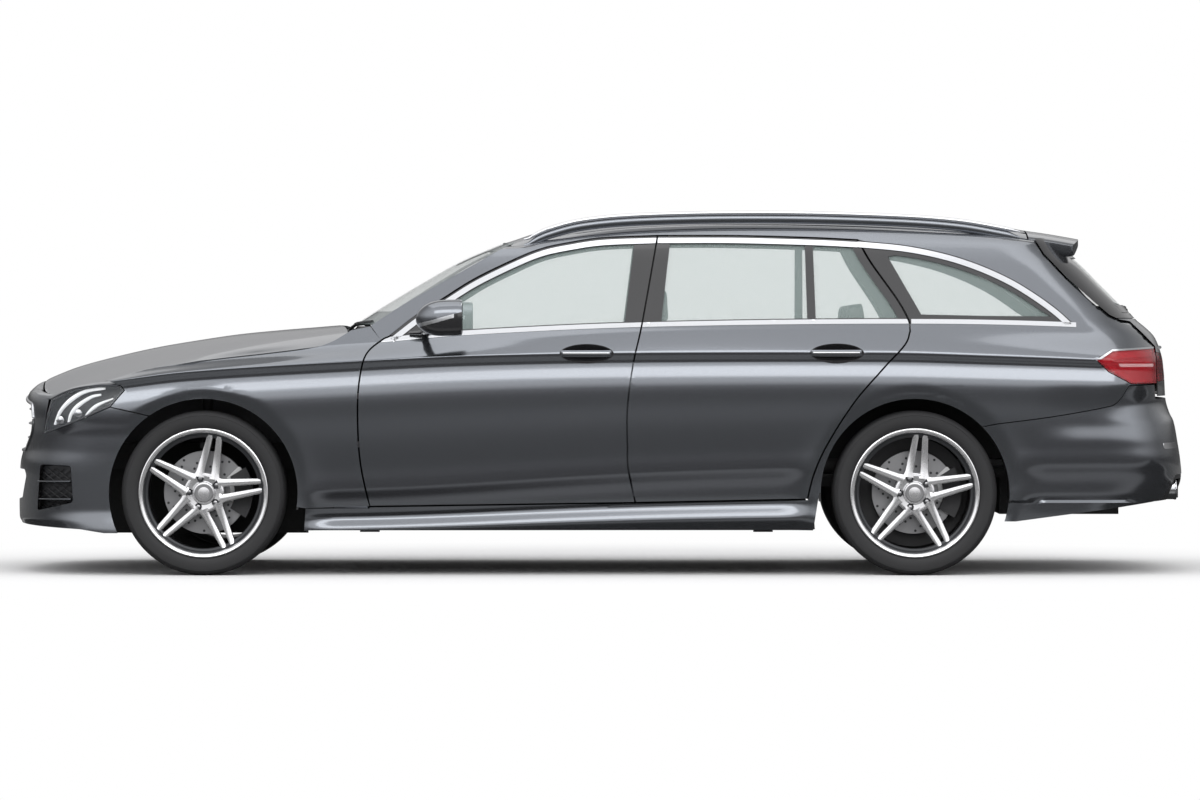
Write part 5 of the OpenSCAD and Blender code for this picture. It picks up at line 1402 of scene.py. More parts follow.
# %% Tailgate details
plate_back = tail_part("plate_recess", 780, 930, 26, 30, paint, 16)
cut(plate_back, bar(shrink(PLATE, 1), "X", 1700, 2600), "INTERSECT")
plate_wall = tail_part("plate_wall", 780, 930, 1, 27, paint, 16)
cut(plate_wall, bar(shrink(PLATE, 1), "X", 1700, 2600), "INTERSECT")
cut(plate_wall, bar(shrink(PLATE, 6), "X", 1700, 2600))
fit(merged("plate_recess_panel", [plate_back, plate_wall], paint), "tailgate", "paint")
plate = rounded_box("rear_plate", tail_at(0, 850, 24)[0], tail_at(0, 850, 20)[0], -260, 260, 800, 908, 1.5,
                    plate_white)
for v in plate.data.vertices:
    v.co.x += (tail_at(v.co.y / MM, v.co.z / MM, 22)[0] - tail_at(0, 850, 22)[0]) * MM * 0.92
fit(plate, "tailgate", "black_trim")
bright_bar = rod("gate_bar", [tail_at(y, 941, -2) for y in spread(-440, 440, 24)], 9, chrome, around=12,
                 flat=0.8)
fit(bright_bar, "tailgate", "bright_trim")
gate_red, gate_inside = [], []
for outline in (GATE_LAMP, mirror_y(GATE_LAMP)):
    part = tail_part("red", 790, 935, 1, 4, red_lens, 10)
    cut(part, bar(shrink(outline, 1), "X", 1700, 2600), "INTERSECT")
    cut(part, bar(gate_outline, "Y", -1100, 1100), "INTERSECT")
    gate_red.append(part)
    back = tail_part("red", 790, 935, 24, 28, red_deep, 14)
    cut(back, bar(shrink(outline, 1), "X", 1700, 2600), "INTERSECT")
    cut(back, bar(gate_outline, "Y", -1100, 1100), "INTERSECT")
    wall = tail_part("red", 790, 935, 4, 24, lamp_dark, 14)
    cut(wall, bar(shrink(outline, 1), "X", 1700, 2600), "INTERSECT")
    cut(wall, bar(shrink(outline, 7), "X", 1700, 2600))
    cut(wall, bar(gate_outline, "Y", -1100, 1100), "INTERSECT")
    gate_inside += [back]
    fit(wall, "tailgate", "black_trim")
fit(merged("gate_lamp_covers", gate_red), "tailgate", "lamp_red")
fit(merged("gate_lamp_backs", gate_inside), "tailgate", "lamp_red")
print("tailgate details ready")

# %% Spoiler, rear wiper and high lamp
SPOIL = [(1794, 12), (1850, 40), (1915, 58), (1975, 50), (2022, 15)]


def spoiler_surface(x, y, d):
    x = x - 45 * (y / 545) ** 4 * ease((x - 1794) / 60)
    thick = curve(x, SPOIL)
    edge = ease((548 - np.abs(y)) / 22) ** 0.5
    return np.stack([x, y, roof_z(x, y) - np.where(d > 0.5, 4 + thick * (0.35 + 0.65 * edge),
                                                   6 * (1 - edge))], -1)


spoiler = sheet("roof_spoiler", spoiler_surface, spread(1794, 2024, 12), spread(-546, 546, 14), 0, 1, paint)
fit(spoiler, "tailgate", "paint")
high_lamp = rounded_box("high_lamp", 1990, 2001, -150, 150, 1352, 1362, 2, red_painted_glow)
fit(high_lamp, "tailgate", "lamp_red")
px = tail_at(0, 1099, 0)
parts_of = [turned("hub", [(1, -16), (15, -16), (19, -8), (19, 10), (1, 10)], satin_black, (0, 0, 0), 32)]
for v in parts_of[0].data.vertices:
    v.co = Vector((px[0] * MM - 0.002 - v.co.y * 0.9, v.co.x, 1.099 + v.co.z))
arm = [tail_at(y, 1099 + (y * 0.12), -12) for y in spread(0, 330, 22)]
parts_of.append(rod("arm", arm, [8 - 4 * k / len(arm) for k in range(len(arm))], satin_black, around=8))
blade = [tail_at(y, 1099 + y * 0.12 - 8, -5) for y in spread(60, 400, 22)]
parts_of.append(rod("blade", blade, 4.5, rubber, around=8, flat=1.6))
fit(merged("rear_wiper", parts_of, satin_black), "tailgate", "black_trim")
print("spoiler and rear wiper ready")

# %% [markdown]
# ## Rear bumper and exhaust
# The bumper is one moulding with a dark lower part, two oval tail pipes and a reflector on each side.

# %% Rear bumper
bumper_top = [(x, z - 4) for x, z in BUMPER_REAR_TOP] + [(2302, 785.7), (2309, 728), (2600, 728),
                                                         (2600, 1000), (1500, 1000), (1500, 618)]
bumper_bottom = [(1500, 100), (1500, 150), (1711, 221), (2136, 278), (2302, 302), (2380, 307), (2600, 307),
                 (2600, 100)]
rear_angles = sorted(set(spread(-155, -90, 2.0) + spread(-90, 90, 2.4) + spread(90, 155, 2.0)))
PIPE_HOLES = [softened([(s * 440, 300), (s * 640, 300), (s * 640, 392), (s * 440, 392)], 30) for s in (-1, 1)]
REAR_DARK = softened([(-690, 200), (690, 200), (700, 330), (640, 410), (-640, 410), (-700, 330)], 20)


def rear_part(name, z0, z1, d0, d1, material, step=11):
    slab = sheet(name, tail_surface, rear_angles, spread(z0, z1, step), d0, d1, material)
    cut(slab, bar(bumper_top, "Y", -1100, 1100))
    cut(slab, bar(bumper_bottom, "Y", -1100, 1100))
    cut(slab, bar(circle_outline(REAR_AXLE, HUB, ARCH), "Y", -1100, 1100))
    return slab


rear = rear_part("rear_bumper_skin", 222, 786, 0, 7, paint)
cut(rear, bar(REAR_DARK, "X", 2200, 2600))
fit(rear, "body", "paint", "rear_bumper")
dark = rear_part("rear_diffuser", 222, 430, 2, 10, satin_black)
cut(dark, bar(shrink(REAR_DARK, 1), "X", 2200, 2600), "INTERSECT")
for hole in PIPE_HOLES:
    cut(dark, bar(hole, "X", 2200, 2600))
fins = [rounded_box("fin", tail_at(y, 340, 20)[0], tail_at(y, 340, -3)[0], y - 5, y + 5, 306, 396, 2,
                    satin_black) for y in (-300, -150, 0, 150, 300)]
fit(merged("rear_diffuser_panel", [dark] + fins), "body", "black_trim")
reflectors = rear_part("rear_reflectors", 500, 560, -1, 6, reflector, 8)
cut(reflectors, bar(softened([(560, 520), (760, 520), (760, 545), (560, 545)], 8) , "X", 2200, 2600),
    "INTERSECT")
reflectors.name = "rear_reflector"
fit(both_sides(reflectors), "body", "lamp_red")
print("rear bumper ready")

# %% Tail pipes
pipes = []
for side_of in (-1, 1):
    outer = softened([(side_of * 540 - 80, 306), (side_of * 540 + 80, 306), (side_of * 540 + 80, 388),
                      (side_of * 540 - 80, 388)], 38)
    tip = bar(outer, "X", 2300, 2404)
    cut(tip, bar(shrink(outer, 5), "X", 2290, 2410))
    lipped = rod("lip", [(2404, y, z) for y, z in dense(shrink(outer, 2.5), 14)], 4.5, chrome, around=10,
                 closed=True)
    tip.data.materials.append(chrome)
    pipes += [tip, lipped]
fit(merged("tail_pipe_tips", pipes, chrome), "body", "bright_trim")
inner_pipes = []
for side_of in (-1, 1):
    bore = turned("bore", [(26, 0), (30, 0), (30, 110), (26, 110)], exhaust_steel, (0, 0, 0), 40)
    for v in bore.data.vertices:
        v.co = Vector((2.20 + v.co.y, side_of * 0.54 + v.co.x, 0.347 + v.co.z))
    inner_pipes.append(bore)
    inner_pipes.append(rod("pipe", flow([(2120, side_of * 500, 335), (2160, side_of * 520, 342),
                                         (2206, side_of * 540, 347)], 5), 29, exhaust_steel, around=20))
inner_pipes.append(rounded_box("muffler", 1790, 2124, -566, 566, 282, 388, 40, exhaust_steel, 5))
inner_pipes.append(rod("pipe", flow([(1796, 0, 330), (1740, 0, 320), (1722, 0, 300)], 5), 30, exhaust_steel,
                       around=20))
fit(merged("tail_pipe_bores", inner_pipes, exhaust_steel), "body", "exhaust", "exhaust")
print("tail pipes ready")

# %% [markdown]
# ## Windshield and cowl
# The windshield is laminated glass with a black border. At its foot sits the cowl, a ribbed plastic tray
# that takes in air and carries the wipers.

# %% Windshield
edge_x = [(z, x) for x, z in PILLAR_EDGE]


def screen_surface(u, z, d):
    x0 = curve(z, edge_x)
    y = u * (side_y(x0, z) - 46)
    return np.stack([screen_x(y, z) + 0.5 * d, y, z - 0.85 * d], -1)


pane = sheet("windshield_pane", screen_surface, spread(-1, 1, 0.04), spread(1040, 1381, 12), 0, 4,
             screen_glass)
fit(pane, "body", "glass", "windshield")
band = sheet("windshield_border", screen_surface, spread(-0.995, 0.995, 0.03), spread(1042, 1379, 12), 4.3,
             5.6, dark_paint)
hole = [(-640, 1092), (640, 1092), (600, 1180), (555, 1280), (515, 1345), (120, 1350), (110, 1290),
        (-110, 1290), (-120, 1350), (-515, 1345), (-555, 1280), (-600, 1180)]
cut(band, bar(softened(hole, 24), "X", -1400, 100))
fit(band, "body", "black_trim")
mirror_foot = rounded_box("mirror_housing", -470, -400, -120, 120, 1275, 1345, 14, satin_black, 4)
fit(mirror_foot, "body", "black_trim")
print("windshield ready")

# %% Cowl and wipers
COWL_FRONT = [(0, -1098), (250, -1068), (450, -1036), (690, -1026)]


def cowl_surface(y, v, d):
    front = curve(np.abs(y), COWL_FRONT)
    rear = screen_x(y, np.full_like(y, 1038.0)) + 10
    ribs = np.where((np.rint(v * 32).astype(int) % 3 == 0) & (v > 0.08) & (v < 0.6), 4.0, 0.0)
    return np.stack([front + (rear - front) * v, y, 984 + 46 * v**1.3 - ribs - d], -1)


cowl = sheet("cowl_tray", cowl_surface, spread(-690, 690, 14), spread(0, 1, 1 / 32), 0, 7, satin_black)
fit(cowl, "body", "black_trim", "cowl")
wipers = []
for y0, y1 in ((-600, -40), (20, 560)):
    line = [(screen_x(y, 1040 + 0.02 * abs(y)) - 5, y, 1036 + 0.02 * abs(y)) for y in spread(y0, y1, 28)]
    line = [tuple(float(c) for c in p) for p in line]
    wipers.append(rod("blade", line, 5.5, rubber, around=8, flat=1.4))
    pivot_y = -40 if y1 < 0 else 560
    arm = [(float(screen_x(pivot_y, 1024)) + 4, pivot_y, 1016),
           (float(screen_x(pivot_y, 1034)) - 4, pivot_y - 60, 1024),
           (float(screen_x(pivot_y - 260, 1044)) - 8, pivot_y - 260, 1042)]
    wipers.append(rod("arm", flow(arm, 6), 7, satin_black, around=8))
    wipers.append(rounded_box("cap", arm[0][0] - 20, arm[0][0] + 18, pivot_y - 20, pivot_y + 20, 992, 1018,
                              9, satin_black))
fit(merged("front_wipers", wipers, satin_black), "body", "black_trim")
print("cowl and wipers ready")

# %% [markdown]
# ## Wheels
# A cast wheel is a turned barrel with five pairs of slim spokes and a dark gap between the two of each pair.
# One wheel is modelled flat at the origin, then copied to all four corners, mirrored on the right.

# %% Tyre
TYRE = [(268.5, -108), (275, -116), (288, -120), (304, -121.8), (318, -121), (319, -119.8), (321, -120.6),
        (331, -113), (336, -104), (339.2, -90), (339.8, -77), (331.5, -76), (331.5, -66), (340, -65),
        (340, -24), (331.5, -23), (331.5, -13), (340, -12)]
tyre_line = TYRE + [(r, -y) for r, y in TYRE[::-1]]
tyre_base = turned("tyre_base", tyre_line + [(268.5, 100), (268.5, -100), (268.5, -108)], tyre_rubber,
                   (0, 0, 0), 112, 40)
print("tyre", len(tyre_base.data.polygons), "faces")

# %% Wheel barrel, hub and disc
barrel = turned("barrel", [(267, -107), (260, -106), (250, -101), (243, -94), (240, -88), (232, -84),
                           (229, -78), (232, -70), (234, 60), (240, 80), (262, 108), (267, 108),
                           (267, -107)], rim_grey, (0, 0, 0), 112)
lip_ring = turned("lip", [(267.5, -109), (267, -112), (263, -113.5), (256, -111.5), (251, -107), (249, -100),
                          (252, -98), (262, -104), (267.5, -109)], rim_silver, (0, 0, 0), 112)
hub_face = turned("hub", [(0.5, -78), (46, -78), (47, -74), (50, -70), (70, -72), (76, -78), (82, -74),
                          (84, -60), (84, -30), (0.5, -30)], rim_silver, (0, 0, 0), 80)
cap = turned("cap", [(0.5, -84), (30, -83), (42, -80), (45, -76), (45, -70), (0.5, -70)], rim_silver,
             (0, 0, 0), 64)
cap_ring = turned("cap_ring", [(34, -83.2), (35, -84.6), (38, -84.2), (39, -81.5)], chrome, (0, 0, 0), 64)
bolts = []
for k in range(5):
    a = math.radians(36 + 11 + 72 * k)
    head = turned("bolt", [(0.5, -76), (5, -76), (8.5, -74), (9, -64), (0.5, -64)], steel, (0, 0, 0), 6, 30)
    pocket = turned("pocket", [(10, -72.5), (14, -76.5), (15.5, -70), (10, -64)], rim_grey, (0, 0, 0), 24)
    for v in list(head.data.vertices) + list(pocket.data.vertices):
        v.co += Vector((math.sin(a) * 0.062, 0, math.cos(a) * 0.062))
    bolts += [head, pocket]
disc = turned("disc", [(85, 34), (172, 34), (173, 36), (173, 54), (172, 56), (85, 56), (85, 34)], steel,
              (0, 0, 0), 96)
disc_hat = turned("hat", [(84, 22), (86, 26), (86, 56), (60, 56), (60, 22)], cast_grey, (0, 0, 0), 64)
# The drilled holes are dark dots on the disc face: painted shade in place of real holes
holes = []
for k in range(40):
    a, r = math.radians(9 * k), (108, 126, 144, 160)[k % 4]
    dot = turned("dot", [(0.5, 33.4), (5.5, 33.4), (5.5, 34.6), (0.5, 34.6)], lamp_dark, (0, 0, 0), 10)
    for v in dot.data.vertices:
        v.co += Vector((math.sin(a) * r, 0, math.cos(a) * r)) * MM
    holes.append(dot)
print("barrel and disc ready")


# %% Spokes
def spoke(lean):
    """One slim spoke, pointing up, leaning in to its twin at the rim."""
    bm = bmesh.new()
    bmesh.ops.create_grid(bm, x_segments=4, y_segments=20, size=0.5)
    grown = bmesh.ops.extrude_face_region(bm, geom=bm.faces[:])["geom"]
    bmesh.ops.translate(bm, verts=[g for g in grown if isinstance(g, bmesh.types.BMVert)], vec=(0, 0, 1))
    for v in bm.verts:
        u, t, deep = v.co.x * 2, v.co.y + 0.5, v.co.z > 0.5
        r = 62 + t * 196
        half = 16 - 5 * t + 6 * max(0, 0.12 - t) / 0.12 + 8 * max(0, t - 0.93) / 0.07
        half += 1.5 if deep else 0
        middle = lean * (33 - 15.5 * t)
        face = -80 - 14 * t + 10 * math.sin(math.pi * t) + 4.5 * abs(u) ** 3 - 11 * max(0, t - 0.85)
        depth = face + (34 - 12 * t if deep else 0)
        v.co = Vector((middle + u * half, depth, r)) * MM
    bmesh.ops.recalc_face_normals(bm, faces=bm.faces[:])
    return publish("spoke", bm, rim_silver, 30)


silver_parts = [lip_ring, hub_face, cap]
for k in range(5):
    for piece in (spoke(-1), spoke(1)):
        piece.data.transform(Matrix.Rotation(math.radians(72 * k), 4, "Y"))
        silver_parts.append(piece)
silver = merged("wheel_silver", silver_parts, rim_silver)
grey = merged("wheel_grey", [barrel] + bolts[1::2], rim_grey)
shiny = merged("wheel_bolts", bolts[::2] + [cap_ring], steel)
brake = merged("wheel_disc", [disc, disc_hat], steel)
dots = merged("wheel_disc_holes", holes, lamp_dark)
print("one wheel", sum(len(t.data.polygons) for t in (silver, grey, shiny, brake, dots)), "faces")


# %% Four wheels
def placed(thing, name, x, side_of, turn):
    bm = bmesh.new()
    bm.from_mesh(thing.data)
    bmesh.ops.rotate(bm, cent=(0, 0, 0), matrix=Matrix.Rotation(math.radians(turn), 3, "Y"),
                     verts=bm.verts[:])
    if side_of > 0:
        bmesh.ops.scale(bm, vec=(1, -1, 1), verts=bm.verts[:])
        bmesh.ops.reverse_faces(bm, faces=bm.faces[:])
    bmesh.ops.translate(bm, verts=bm.verts[:], vec=Vector((x, side_of * 790, HUB)) * MM)
    return publish(name, bm, thing.data.materials[0], 35)


for end, x, turn in (("front", FRONT_AXLE, 11), ("rear", REAR_AXLE, 6)):
    for side_name, side_of in (("left", -1), ("right", 1)):
        body = f"wheel_{end}_{side_name}"
        for thing, slot, nodes in ((tyre_base, "tyre", (f"tyre_{end}_{side_name}",)),
                                   (silver, "rim", (f"rim_{end}_{side_name}",)), (grey, "rim", ()),
                                   (shiny, "rim", ()), (brake, "rim", ()), (dots, "rim", ())):
            fit(placed(thing, f"{body}_{thing.name}", x, side_of, turn), body, slot, *nodes)
for thing in (tyre_base, silver, grey, shiny, brake, dots):
    drop(thing)


def caliper(x, side_of, turn):
    """A brake caliper that bridges the disc, behind the axle."""
    outline = [(r * math.cos(math.radians(a)), r * math.sin(math.radians(a))) for r,
               span in ((178, np.linspace(-30, 30, 9)), (104, np.linspace(26, -26, 7))) for a in span]
    piece = bar(softened(outline, 10), "Y", 24, 66)
    cut(piece, bar([(60, -200), (175, -200), (175, 200), (60, 200)], "Y", 31.5, 58.5))
    for v in piece.data.vertices:
        v.co = Matrix.Rotation(math.radians(turn), 3, "Y") @ v.co
        v.co = Vector((v.co.x, v.co.y * -side_of, v.co.z)) + Vector((x, side_of * 790, HUB)) * MM
    piece.data.materials.append(caliper_grey)
    bm = bmesh.new()
    bm.from_mesh(piece.data)
    bmesh.ops.recalc_face_normals(bm, faces=bm.faces[:])
    bm.to_mesh(piece.data)
    bm.free()
    piece.name = "caliper"
    return smooth_piece(piece, 35) or piece


for side_name, side_of in (("left", -1), ("right", 1)):
    front_caliper, rear_caliper = caliper(FRONT_AXLE, side_of, -8), caliper(REAR_AXLE, side_of, -8)
    front_caliper.name, rear_caliper.name = f"caliper_front_{side_name}", f"caliper_rear_{side_name}"
    shield = turned(f"brake_shield_{side_name}", [(226, 0), (226, 6), (214, 2), (62, 2), (62, 0), (226, 0)],
                    cast_grey, (REAR_AXLE, side_of * 714, HUB), 64)
    fit(shield, "body", "suspension")
    fit(front_caliper, f"knuckle_{side_name}", "suspension")
    fit(rear_caliper, "body", "suspension")
print("four wheels ready")

# %% [markdown]
# ## Mirrors
# Each mirror has a painted cap, a dark lower housing, a bright strip round the front, and a glass face that
# looks to the rear. Each is carried on a short arm from the door.

# %% Mirrors
def mirror_head(x, a, d):
    """A rounded shell: x runs along the car, a goes round it."""
    t = (x + 757) / 192
    size = np.clip(1 - np.maximum(0, 1 - t / 0.62) ** 2.3, 0, 1) ** 0.55
    size = size * (1 - 0.05 * ease((t - 0.9) / 0.1))
    c, s = np.cos(np.radians(a)), np.sin(np.radians(a))
    y = -1030 + np.sign(c) * np.abs(c) ** 0.75 * (86 - d) * size - 4 * t
    z = 1060 + (t - 0.5) * 6 + np.sign(s) * np.abs(s) ** 0.75 * (77 - d) * size * (0.98 + 0.02 * s)
    return np.stack([x, y, z], -1)


def head_piece(name, d, material, tool_outline, x0=-756):
    spots = np.linspace(0, 1, 29) ** 1.6 * (-566 - x0) + x0
    turn = np.arange(0, 360, 10.0)
    shell = wrapped(name, len(spots) - 1, len(turn), lambda k, j: mirror_head(spots[k], turn[j], d),
                    material, smooth=40)
    cut(shell, bar(tool_outline, "Y", -1200, -850), "INTERSECT")
    return shell


top_part = head_piece("mirror_cap", 0, paint, [(-760, 1036), (-700, 1050), (-560, 1090), (-560, 1160),
                                               (-760, 1160)])
strip_part = head_piece("mirror_lamp", -1.5, satin_chrome,
                        [(-757, 1021), (-700, 1036), (-598, 1064), (-598, 1080), (-700, 1051), (-757, 1037)])
low_part = head_piece("mirror_base", 1.5, dark_paint,
                      [(-760, 1036), (-700, 1050), (-560, 1090), (-560, 960), (-760, 960)])
rim_part = head_piece("mirror_rim", 0.5, dark_paint, [(-586, 960), (-567, 960), (-567, 1160), (-580, 1160)])
glass_part = rounded_box("mirror_glass", -569, -566, -1102, -962, 1000, 1124, 1.4, chrome)
arm_part = rod("mirror_arm", flow([(-735, -830, 1004), (-722, -880, 1006), (-705, -940, 1008),
                                   (-700, -990, 1014)], 5), [15] * 5 + [17] * 5 + [19] * 6, dark_paint,
               around=16, flat=0.8)
foot_part = rod("mirror_foot", [(-790, -838, 1000), (-740, -842, 1003), (-690, -840, 1010)], [9, 15, 10],
                dark_paint, around=14, flat=0.7)
for piece, slot in ((top_part, "paint"), (strip_part, "lamp_clear"), (low_part, "black_trim"),
                    (rim_part, "black_trim"), (glass_part, "bright_trim"), (arm_part, "black_trim"),
                    (foot_part, "black_trim")):
    name = piece.name
    right = other_side(piece, f"{name}_right")
    piece.name = f"{name}_left"
    for side_name, thing in (("left", piece), ("right", right)):
        fit(thing, f"door_front_{side_name}", slot, *((f"mirror_{side_name}",) if slot == "paint" else ()))
print("mirrors ready")

# %% [markdown]
# ## Seats
# The seats are foam pads under leather. Each pad is a closed, crowned form with sunk seams between its middle
# and its bolsters. The pads are shaped by formula rather than by cloth simulation, to keep the build short.

# %% Pad maker
def pad(name, line, y0, y1, crown, seam_at=0.62, material=None, sew=True):
    """A crowned pad: line is the side profile (x, z), with the outer face bulging by crown."""
    p = np.array(flow(line + line[:1], 5)[:-1])
    centre = p.mean(0)
    ys = spread(y0, y1, 11)
    middle, half = (y0 + y1) / 2, (y1 - y0) / 2

    def spot(k, j):
        u = (ys[k] - middle) / half
        end = max(0.0, 1 - abs(u) ** 7) ** 0.4
        swell = crown * (1 - u * u)
        seam = 0.0
        if sew:
            seam = 5.0 * math.exp(-((abs(u) - seam_at) / 0.022) ** 2)
        out = p[j] - centre
        far = np.linalg.norm(out)
        size = (0.84 + 0.16 * end) * (1 - 0.0) + (swell - seam) / max(far, 60.0) - crown / max(far, 60.0)
        q = centre + out * size
        return (q[0], ys[k] if abs(u) < 0.999 else ys[k], q[1])
    piece = wrapped(name, len(ys) - 1, len(p), spot, material or leather, smooth=60)
    mod = piece.modifiers.new("round", "SUBSURF")
    mod.levels = mod.render_levels = 1
    return piece


# %% Seats
def seat_set(tag, y, half):
    pads = [pad(f"{tag}_cushion", [(-424, 352), (-412, 460), (-300, 468), (0, 448), (112, 438), (112, 350)],
                y - half, y + half, 12),
            pad(f"{tag}_back", [(62, 440), (-2, 480), (78, 760), (172, 1046), (230, 1056), (284, 1046),
                                (240, 760), (196, 430)], y - half + 8, y + half - 8, 14, 0.58),
            pad(f"{tag}_headrest", [(204, 1050), (196, 1120), (202, 1172), (238, 1184), (276, 1178),
                                    (284, 1120), (280, 1048)], y - 128, y + 128, 8, sew=False)]
    return pads


for tag, y in (("left_seat", -370), ("right_seat", 370)):
    for piece in seat_set(tag, y, 248):
        fit(piece, "body", "upholstery", *(("front_seats",) if piece.name.endswith("cushion") else ()))
rear_pads = [pad("rear_cushion", [(544, 410), (536, 515), (700, 526), (1020, 515), (1024, 410)], -572, 572,
                 12, 0.36), pad("rear_back", [(944, 480), (906, 545), (975, 780), (1044, 1002), (1112, 1004),
                                              (1104, 760), (1086, 480)], -572, 572, 10, 0.36)]
for y in (-400, 0, 400):
    rear_pads.append(pad(f"rear_headrest_{y + 400}",
                         [(1046, 1000), (1034, 1060), (1040, 1110), (1074, 1120), (1104, 1114),
                          (1110, 1000)], y - 112, y + 112, 6, sew=False))
for piece in rear_pads:
    fit(piece, "body", "upholstery", *(("rear_seat",) if piece.name == "rear_cushion" else ()))
posts, bases = [], []
for y in (-370, 370):
    for side_of in (-1, 1):
        posts.append(rod("post", [(232, y + side_of * 60, 1010), (236, y + side_of * 60, 1090)], 6, chrome,
                         around=12))
        bases.append(rounded_box("rail", -378, 48, y + side_of * 190 - 16, y + side_of * 190 + 16, 231, 262,
                                 4, cast_grey))
        bases.append(rounded_box("shield", -372, 96, y + side_of * 236 - 10, y + side_of * 236 + 10, 262,
                                 372, 9, satin_black))
    bases.append(rounded_box("box", -360, 40, y - 190, y + 190, 262, 366, 8, satin_black))
for y in (-400, 0, 400):
    for side_of in (-1, 1):
        posts.append(rod("post", [(1072, y + side_of * 50, 960), (1074, y + side_of * 50, 1030)], 5, chrome,
                         around=12))
bases.append(rounded_box("rear_box", 560, 1010, -560, 560, 362, 416, 8, satin_black))
bases.append(rounded_box("rear_shell", 1098, 1112, -560, 560, 410, 985, 4, satin_black))
fit(merged("headrest_posts", posts), "body", "bright_trim")
fit(merged("seat_bases", bases, satin_black), "body", "dashboard")
print("seats ready")

# %% [markdown]
# ## Dashboard and cabin
# The dashboard is a soft moulding with vents, a screen and a hooded cluster. Between the seats runs a console.
# Small controls are fixed, and the screens are blank.

# %% Dashboard
DASH = flow([(-1104, 860), (-1090, 884), (-1000, 952), (-760, 984), (-640, 950), (-618, 915), (-640, 880),
             (-690, 800), (-720, 712), (-790, 660), (-900, 612), (-1104, 650)], 4)
dash_ys = spread(-684, 684, 38)


def dash_spot(k, j):
    x, z = DASH[j]
    y = dash_ys[k]
    hood_rise = 0
    dip = 8 * math.exp(-((y) / 120) ** 2) if z > 900 else 0
    reach = min(abs(y), float(side_y(x, max(z, 600))) - 158)
    return (x, math.copysign(reach, y) if y else 0, z + hood_rise - dip)


dash = wrapped("dashboard_pad", len(dash_ys) - 1, len(DASH), dash_spot, soft_plastic, smooth=45)
mod = dash.modifiers.new("round", "SUBSURF")
mod.levels = mod.render_levels = 1
fit(dash, "body", "dashboard", "dashboard")
extras = [rounded_box("screen", -648, -628, -130, 130, 905, 983, 5, dark_paint),
          rounded_box("cluster", -690, -640, -520, -230, 905, 982, 12, dark_paint, 4)]
for y in (-630, -110, 110, 630):
    extras.append(turned("vent", [(4, 0), (30, 0), (34, 3), (36, 12), (30, 16), (4, 10)], satin_black,
                         (0, 0, 0), 32))
    for v in extras[-1].data.vertices:
        v.co = Vector((-0.632 - v.co.y, y * MM * 0.93 + v.co.x, 0.862 + v.co.z))
fit(merged("dashboard_screens", extras, dark_paint), "body", "black_trim")
console = [rounded_box("console", -700, 330, -112, 112, 380, 560, 24, soft_plastic, 4),
           rounded_box("armrest", 60, 330, -98, 98, 556, 612, 20, leather, 4)]
for v in console[0].data.vertices:
    if v.co.z > 0.5:
        v.co.z += 0.14 * float(ease((-v.co.x - 0.35) / 0.35))
fit(merged("console_body", [console[0]], soft_plastic), "body", "dashboard")
fit(console[1], "body", "upholstery")
selector = rod("selector", [(-380, 0, 560), (-376, 0, 600), (-370, 0, 632)], [10, 9, 15], dark_paint,
               around=16)
fit(selector, "body", "black_trim")
print("dashboard ready")

# %% Steering wheel
tilt = math.radians(24)
axis_x, axis_z = math.cos(tilt), math.sin(tilt)


def on_wheel(a, r, out=0.0):
    """A place on the steering wheel: a is measured round it from the top."""
    up = (-math.sin(tilt), 0, math.cos(tilt))
    s, c = math.sin(math.radians(a)), math.cos(math.radians(a))
    return (-520 + up[0] * r * c + axis_x * out, -370 + r * s, 850 + up[2] * r * c + axis_z * out)


ring = rod("rim", [on_wheel(a, 178) for a in range(0, 360, 5)], 13, leather, around=14, closed=True)
fit(ring, "steering_wheel", "wheel_rim_leather", "steering_wheel")
centre = []
for a in (90, 180, 270):
    centre.append(rod("spoke", [on_wheel(a, r) for r in (40, 80, 120, 150, 172)], [26, 22, 17, 15, 16],
                      satin_black, around=12, flat=0.45))
boss = turned("boss", [(0.5, -22), (42, -20), (58, -10), (60, 6), (50, 17), (0.5, 17)], soft_plastic,
              (0, 0, 0), 48)
for v in boss.data.vertices:
    a = v.co.copy()
    v.co = Vector((-0.520, -0.370, 0.850)) + Vector((axis_x * -a.y - math.sin(tilt) * a.z, a.x,
                                                     axis_z * -a.y + math.cos(tilt) * a.z))
column = rod("column", [(-520 - axis_x * t, -370, 850 - axis_z * t) for t in (12, 40, 68)], 19, soft_plastic,
             around=20)
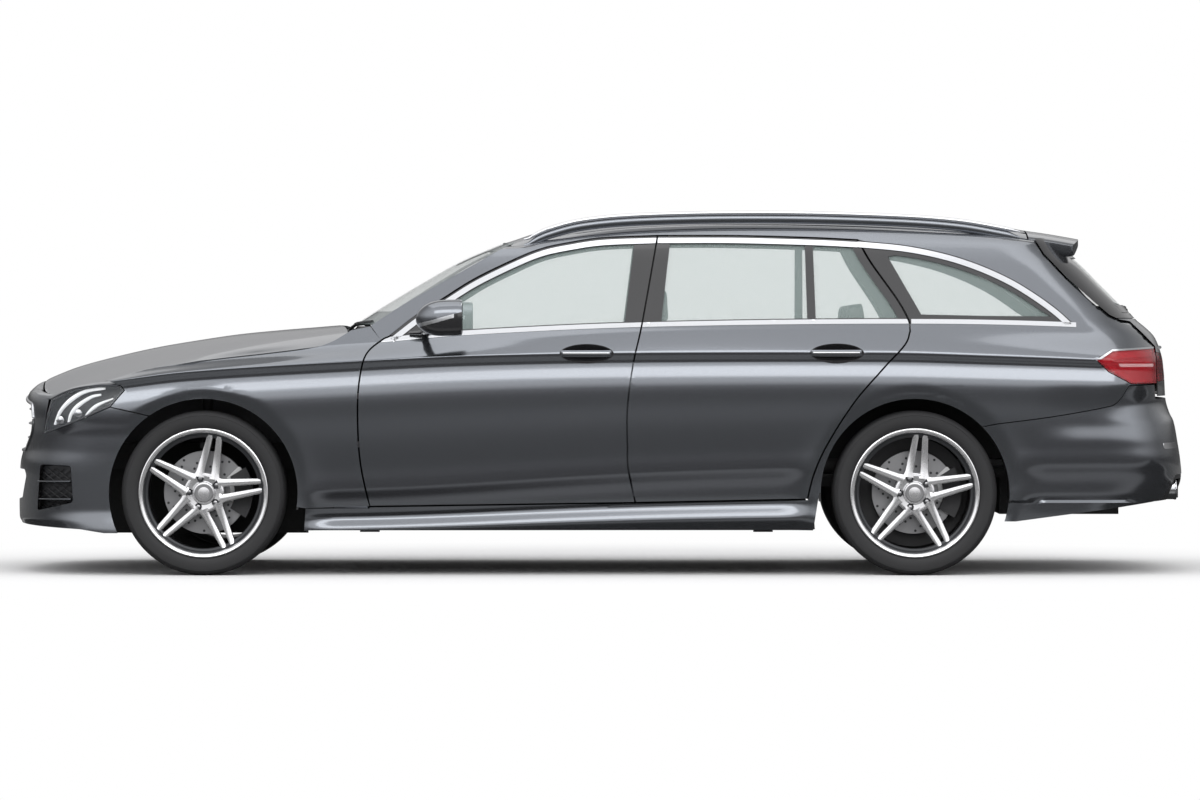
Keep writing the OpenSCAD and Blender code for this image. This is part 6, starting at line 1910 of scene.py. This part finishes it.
fit(merged("steering_wheel_hub", centre + [boss, column], soft_plastic), "steering_wheel",
    "wheel_rim_leather")
print("steering wheel ready")

# %% Carpets and trim below the glass
mats = [rounded_box("mat", -1090, 810, -600, -120, 232, 240, 3, carpet),
        rounded_box("mat", -1090, 810, 120, 600, 232, 240, 3, carpet),
        rounded_box("mat", 1112, 2300, -590, 590, 441, 449, 3, carpet),
        rounded_box("mat", -1090, 480, -106, 106, 379, 386, 3, carpet)]
fit(merged("carpets", mats, carpet), "body", "upholstery")
panels = [side_panel("trim", [(1290, 460), (2240, 460), (2240, 760), (2180, 1010), (1300, 1010)], 90, 98,
                     soft_plastic, step=40, flat=True, holes=[circle_outline(REAR_AXLE, HUB, 408)])]
house = bar([(x, z) for x, z in circle_outline(REAR_AXLE, HUB, 404) if z > 452], "Y", -604, -598)
house.data.materials.append(liner_felt)
house.name = "wheelhouse_wall"
fit(both_sides(house), "body", "liner")
panels[0].name = "cargo_trim"
fit(both_sides(panels[0]), "body", "upholstery")
print("cabin ready")

# %% [markdown]
# ## Finishes on the CAD pieces
# The floor, liners, engine, axles, hinges and exhaust keep their CAD shapes, since they are hidden or plain in
# life. Each gets its own finish here.

# %% Finish the CAD pieces
for name, material in (("floor_pan", under_coat), ("wheel_liners", liner_felt),
                       ("engine_block", engine_grey), ("front_suspension", cast_grey),
                       ("rear_axle", cast_grey), ("hinge_straps", steel), ("exhaust", exhaust_steel),
                       ("knuckle_left", cast_grey), ("knuckle_right", cast_grey)):
    thing = bpy.data.objects.get(name)
    if thing is None:
        print("no node", name)
        continue
    for k in range(max(1, len(thing.material_slots))):
        if not thing.material_slots:
            thing.data.materials.append(material)
        thing.material_slots[k].material = material
print("CAD pieces finished")

# %% Side shields beside the engine
shields = [bar([(-2060, 162), (-1225, 162), (-1225, 470), (-2060, 470)], "Y", s * 446 - 2, s * 446 + 2)
           for s in (-1, 1)]
fit(merged("engine_side_shields", shields, liner_felt), "body", "liner")
print("shields ready")

# %% Finish
bpy.context.view_layer.update()
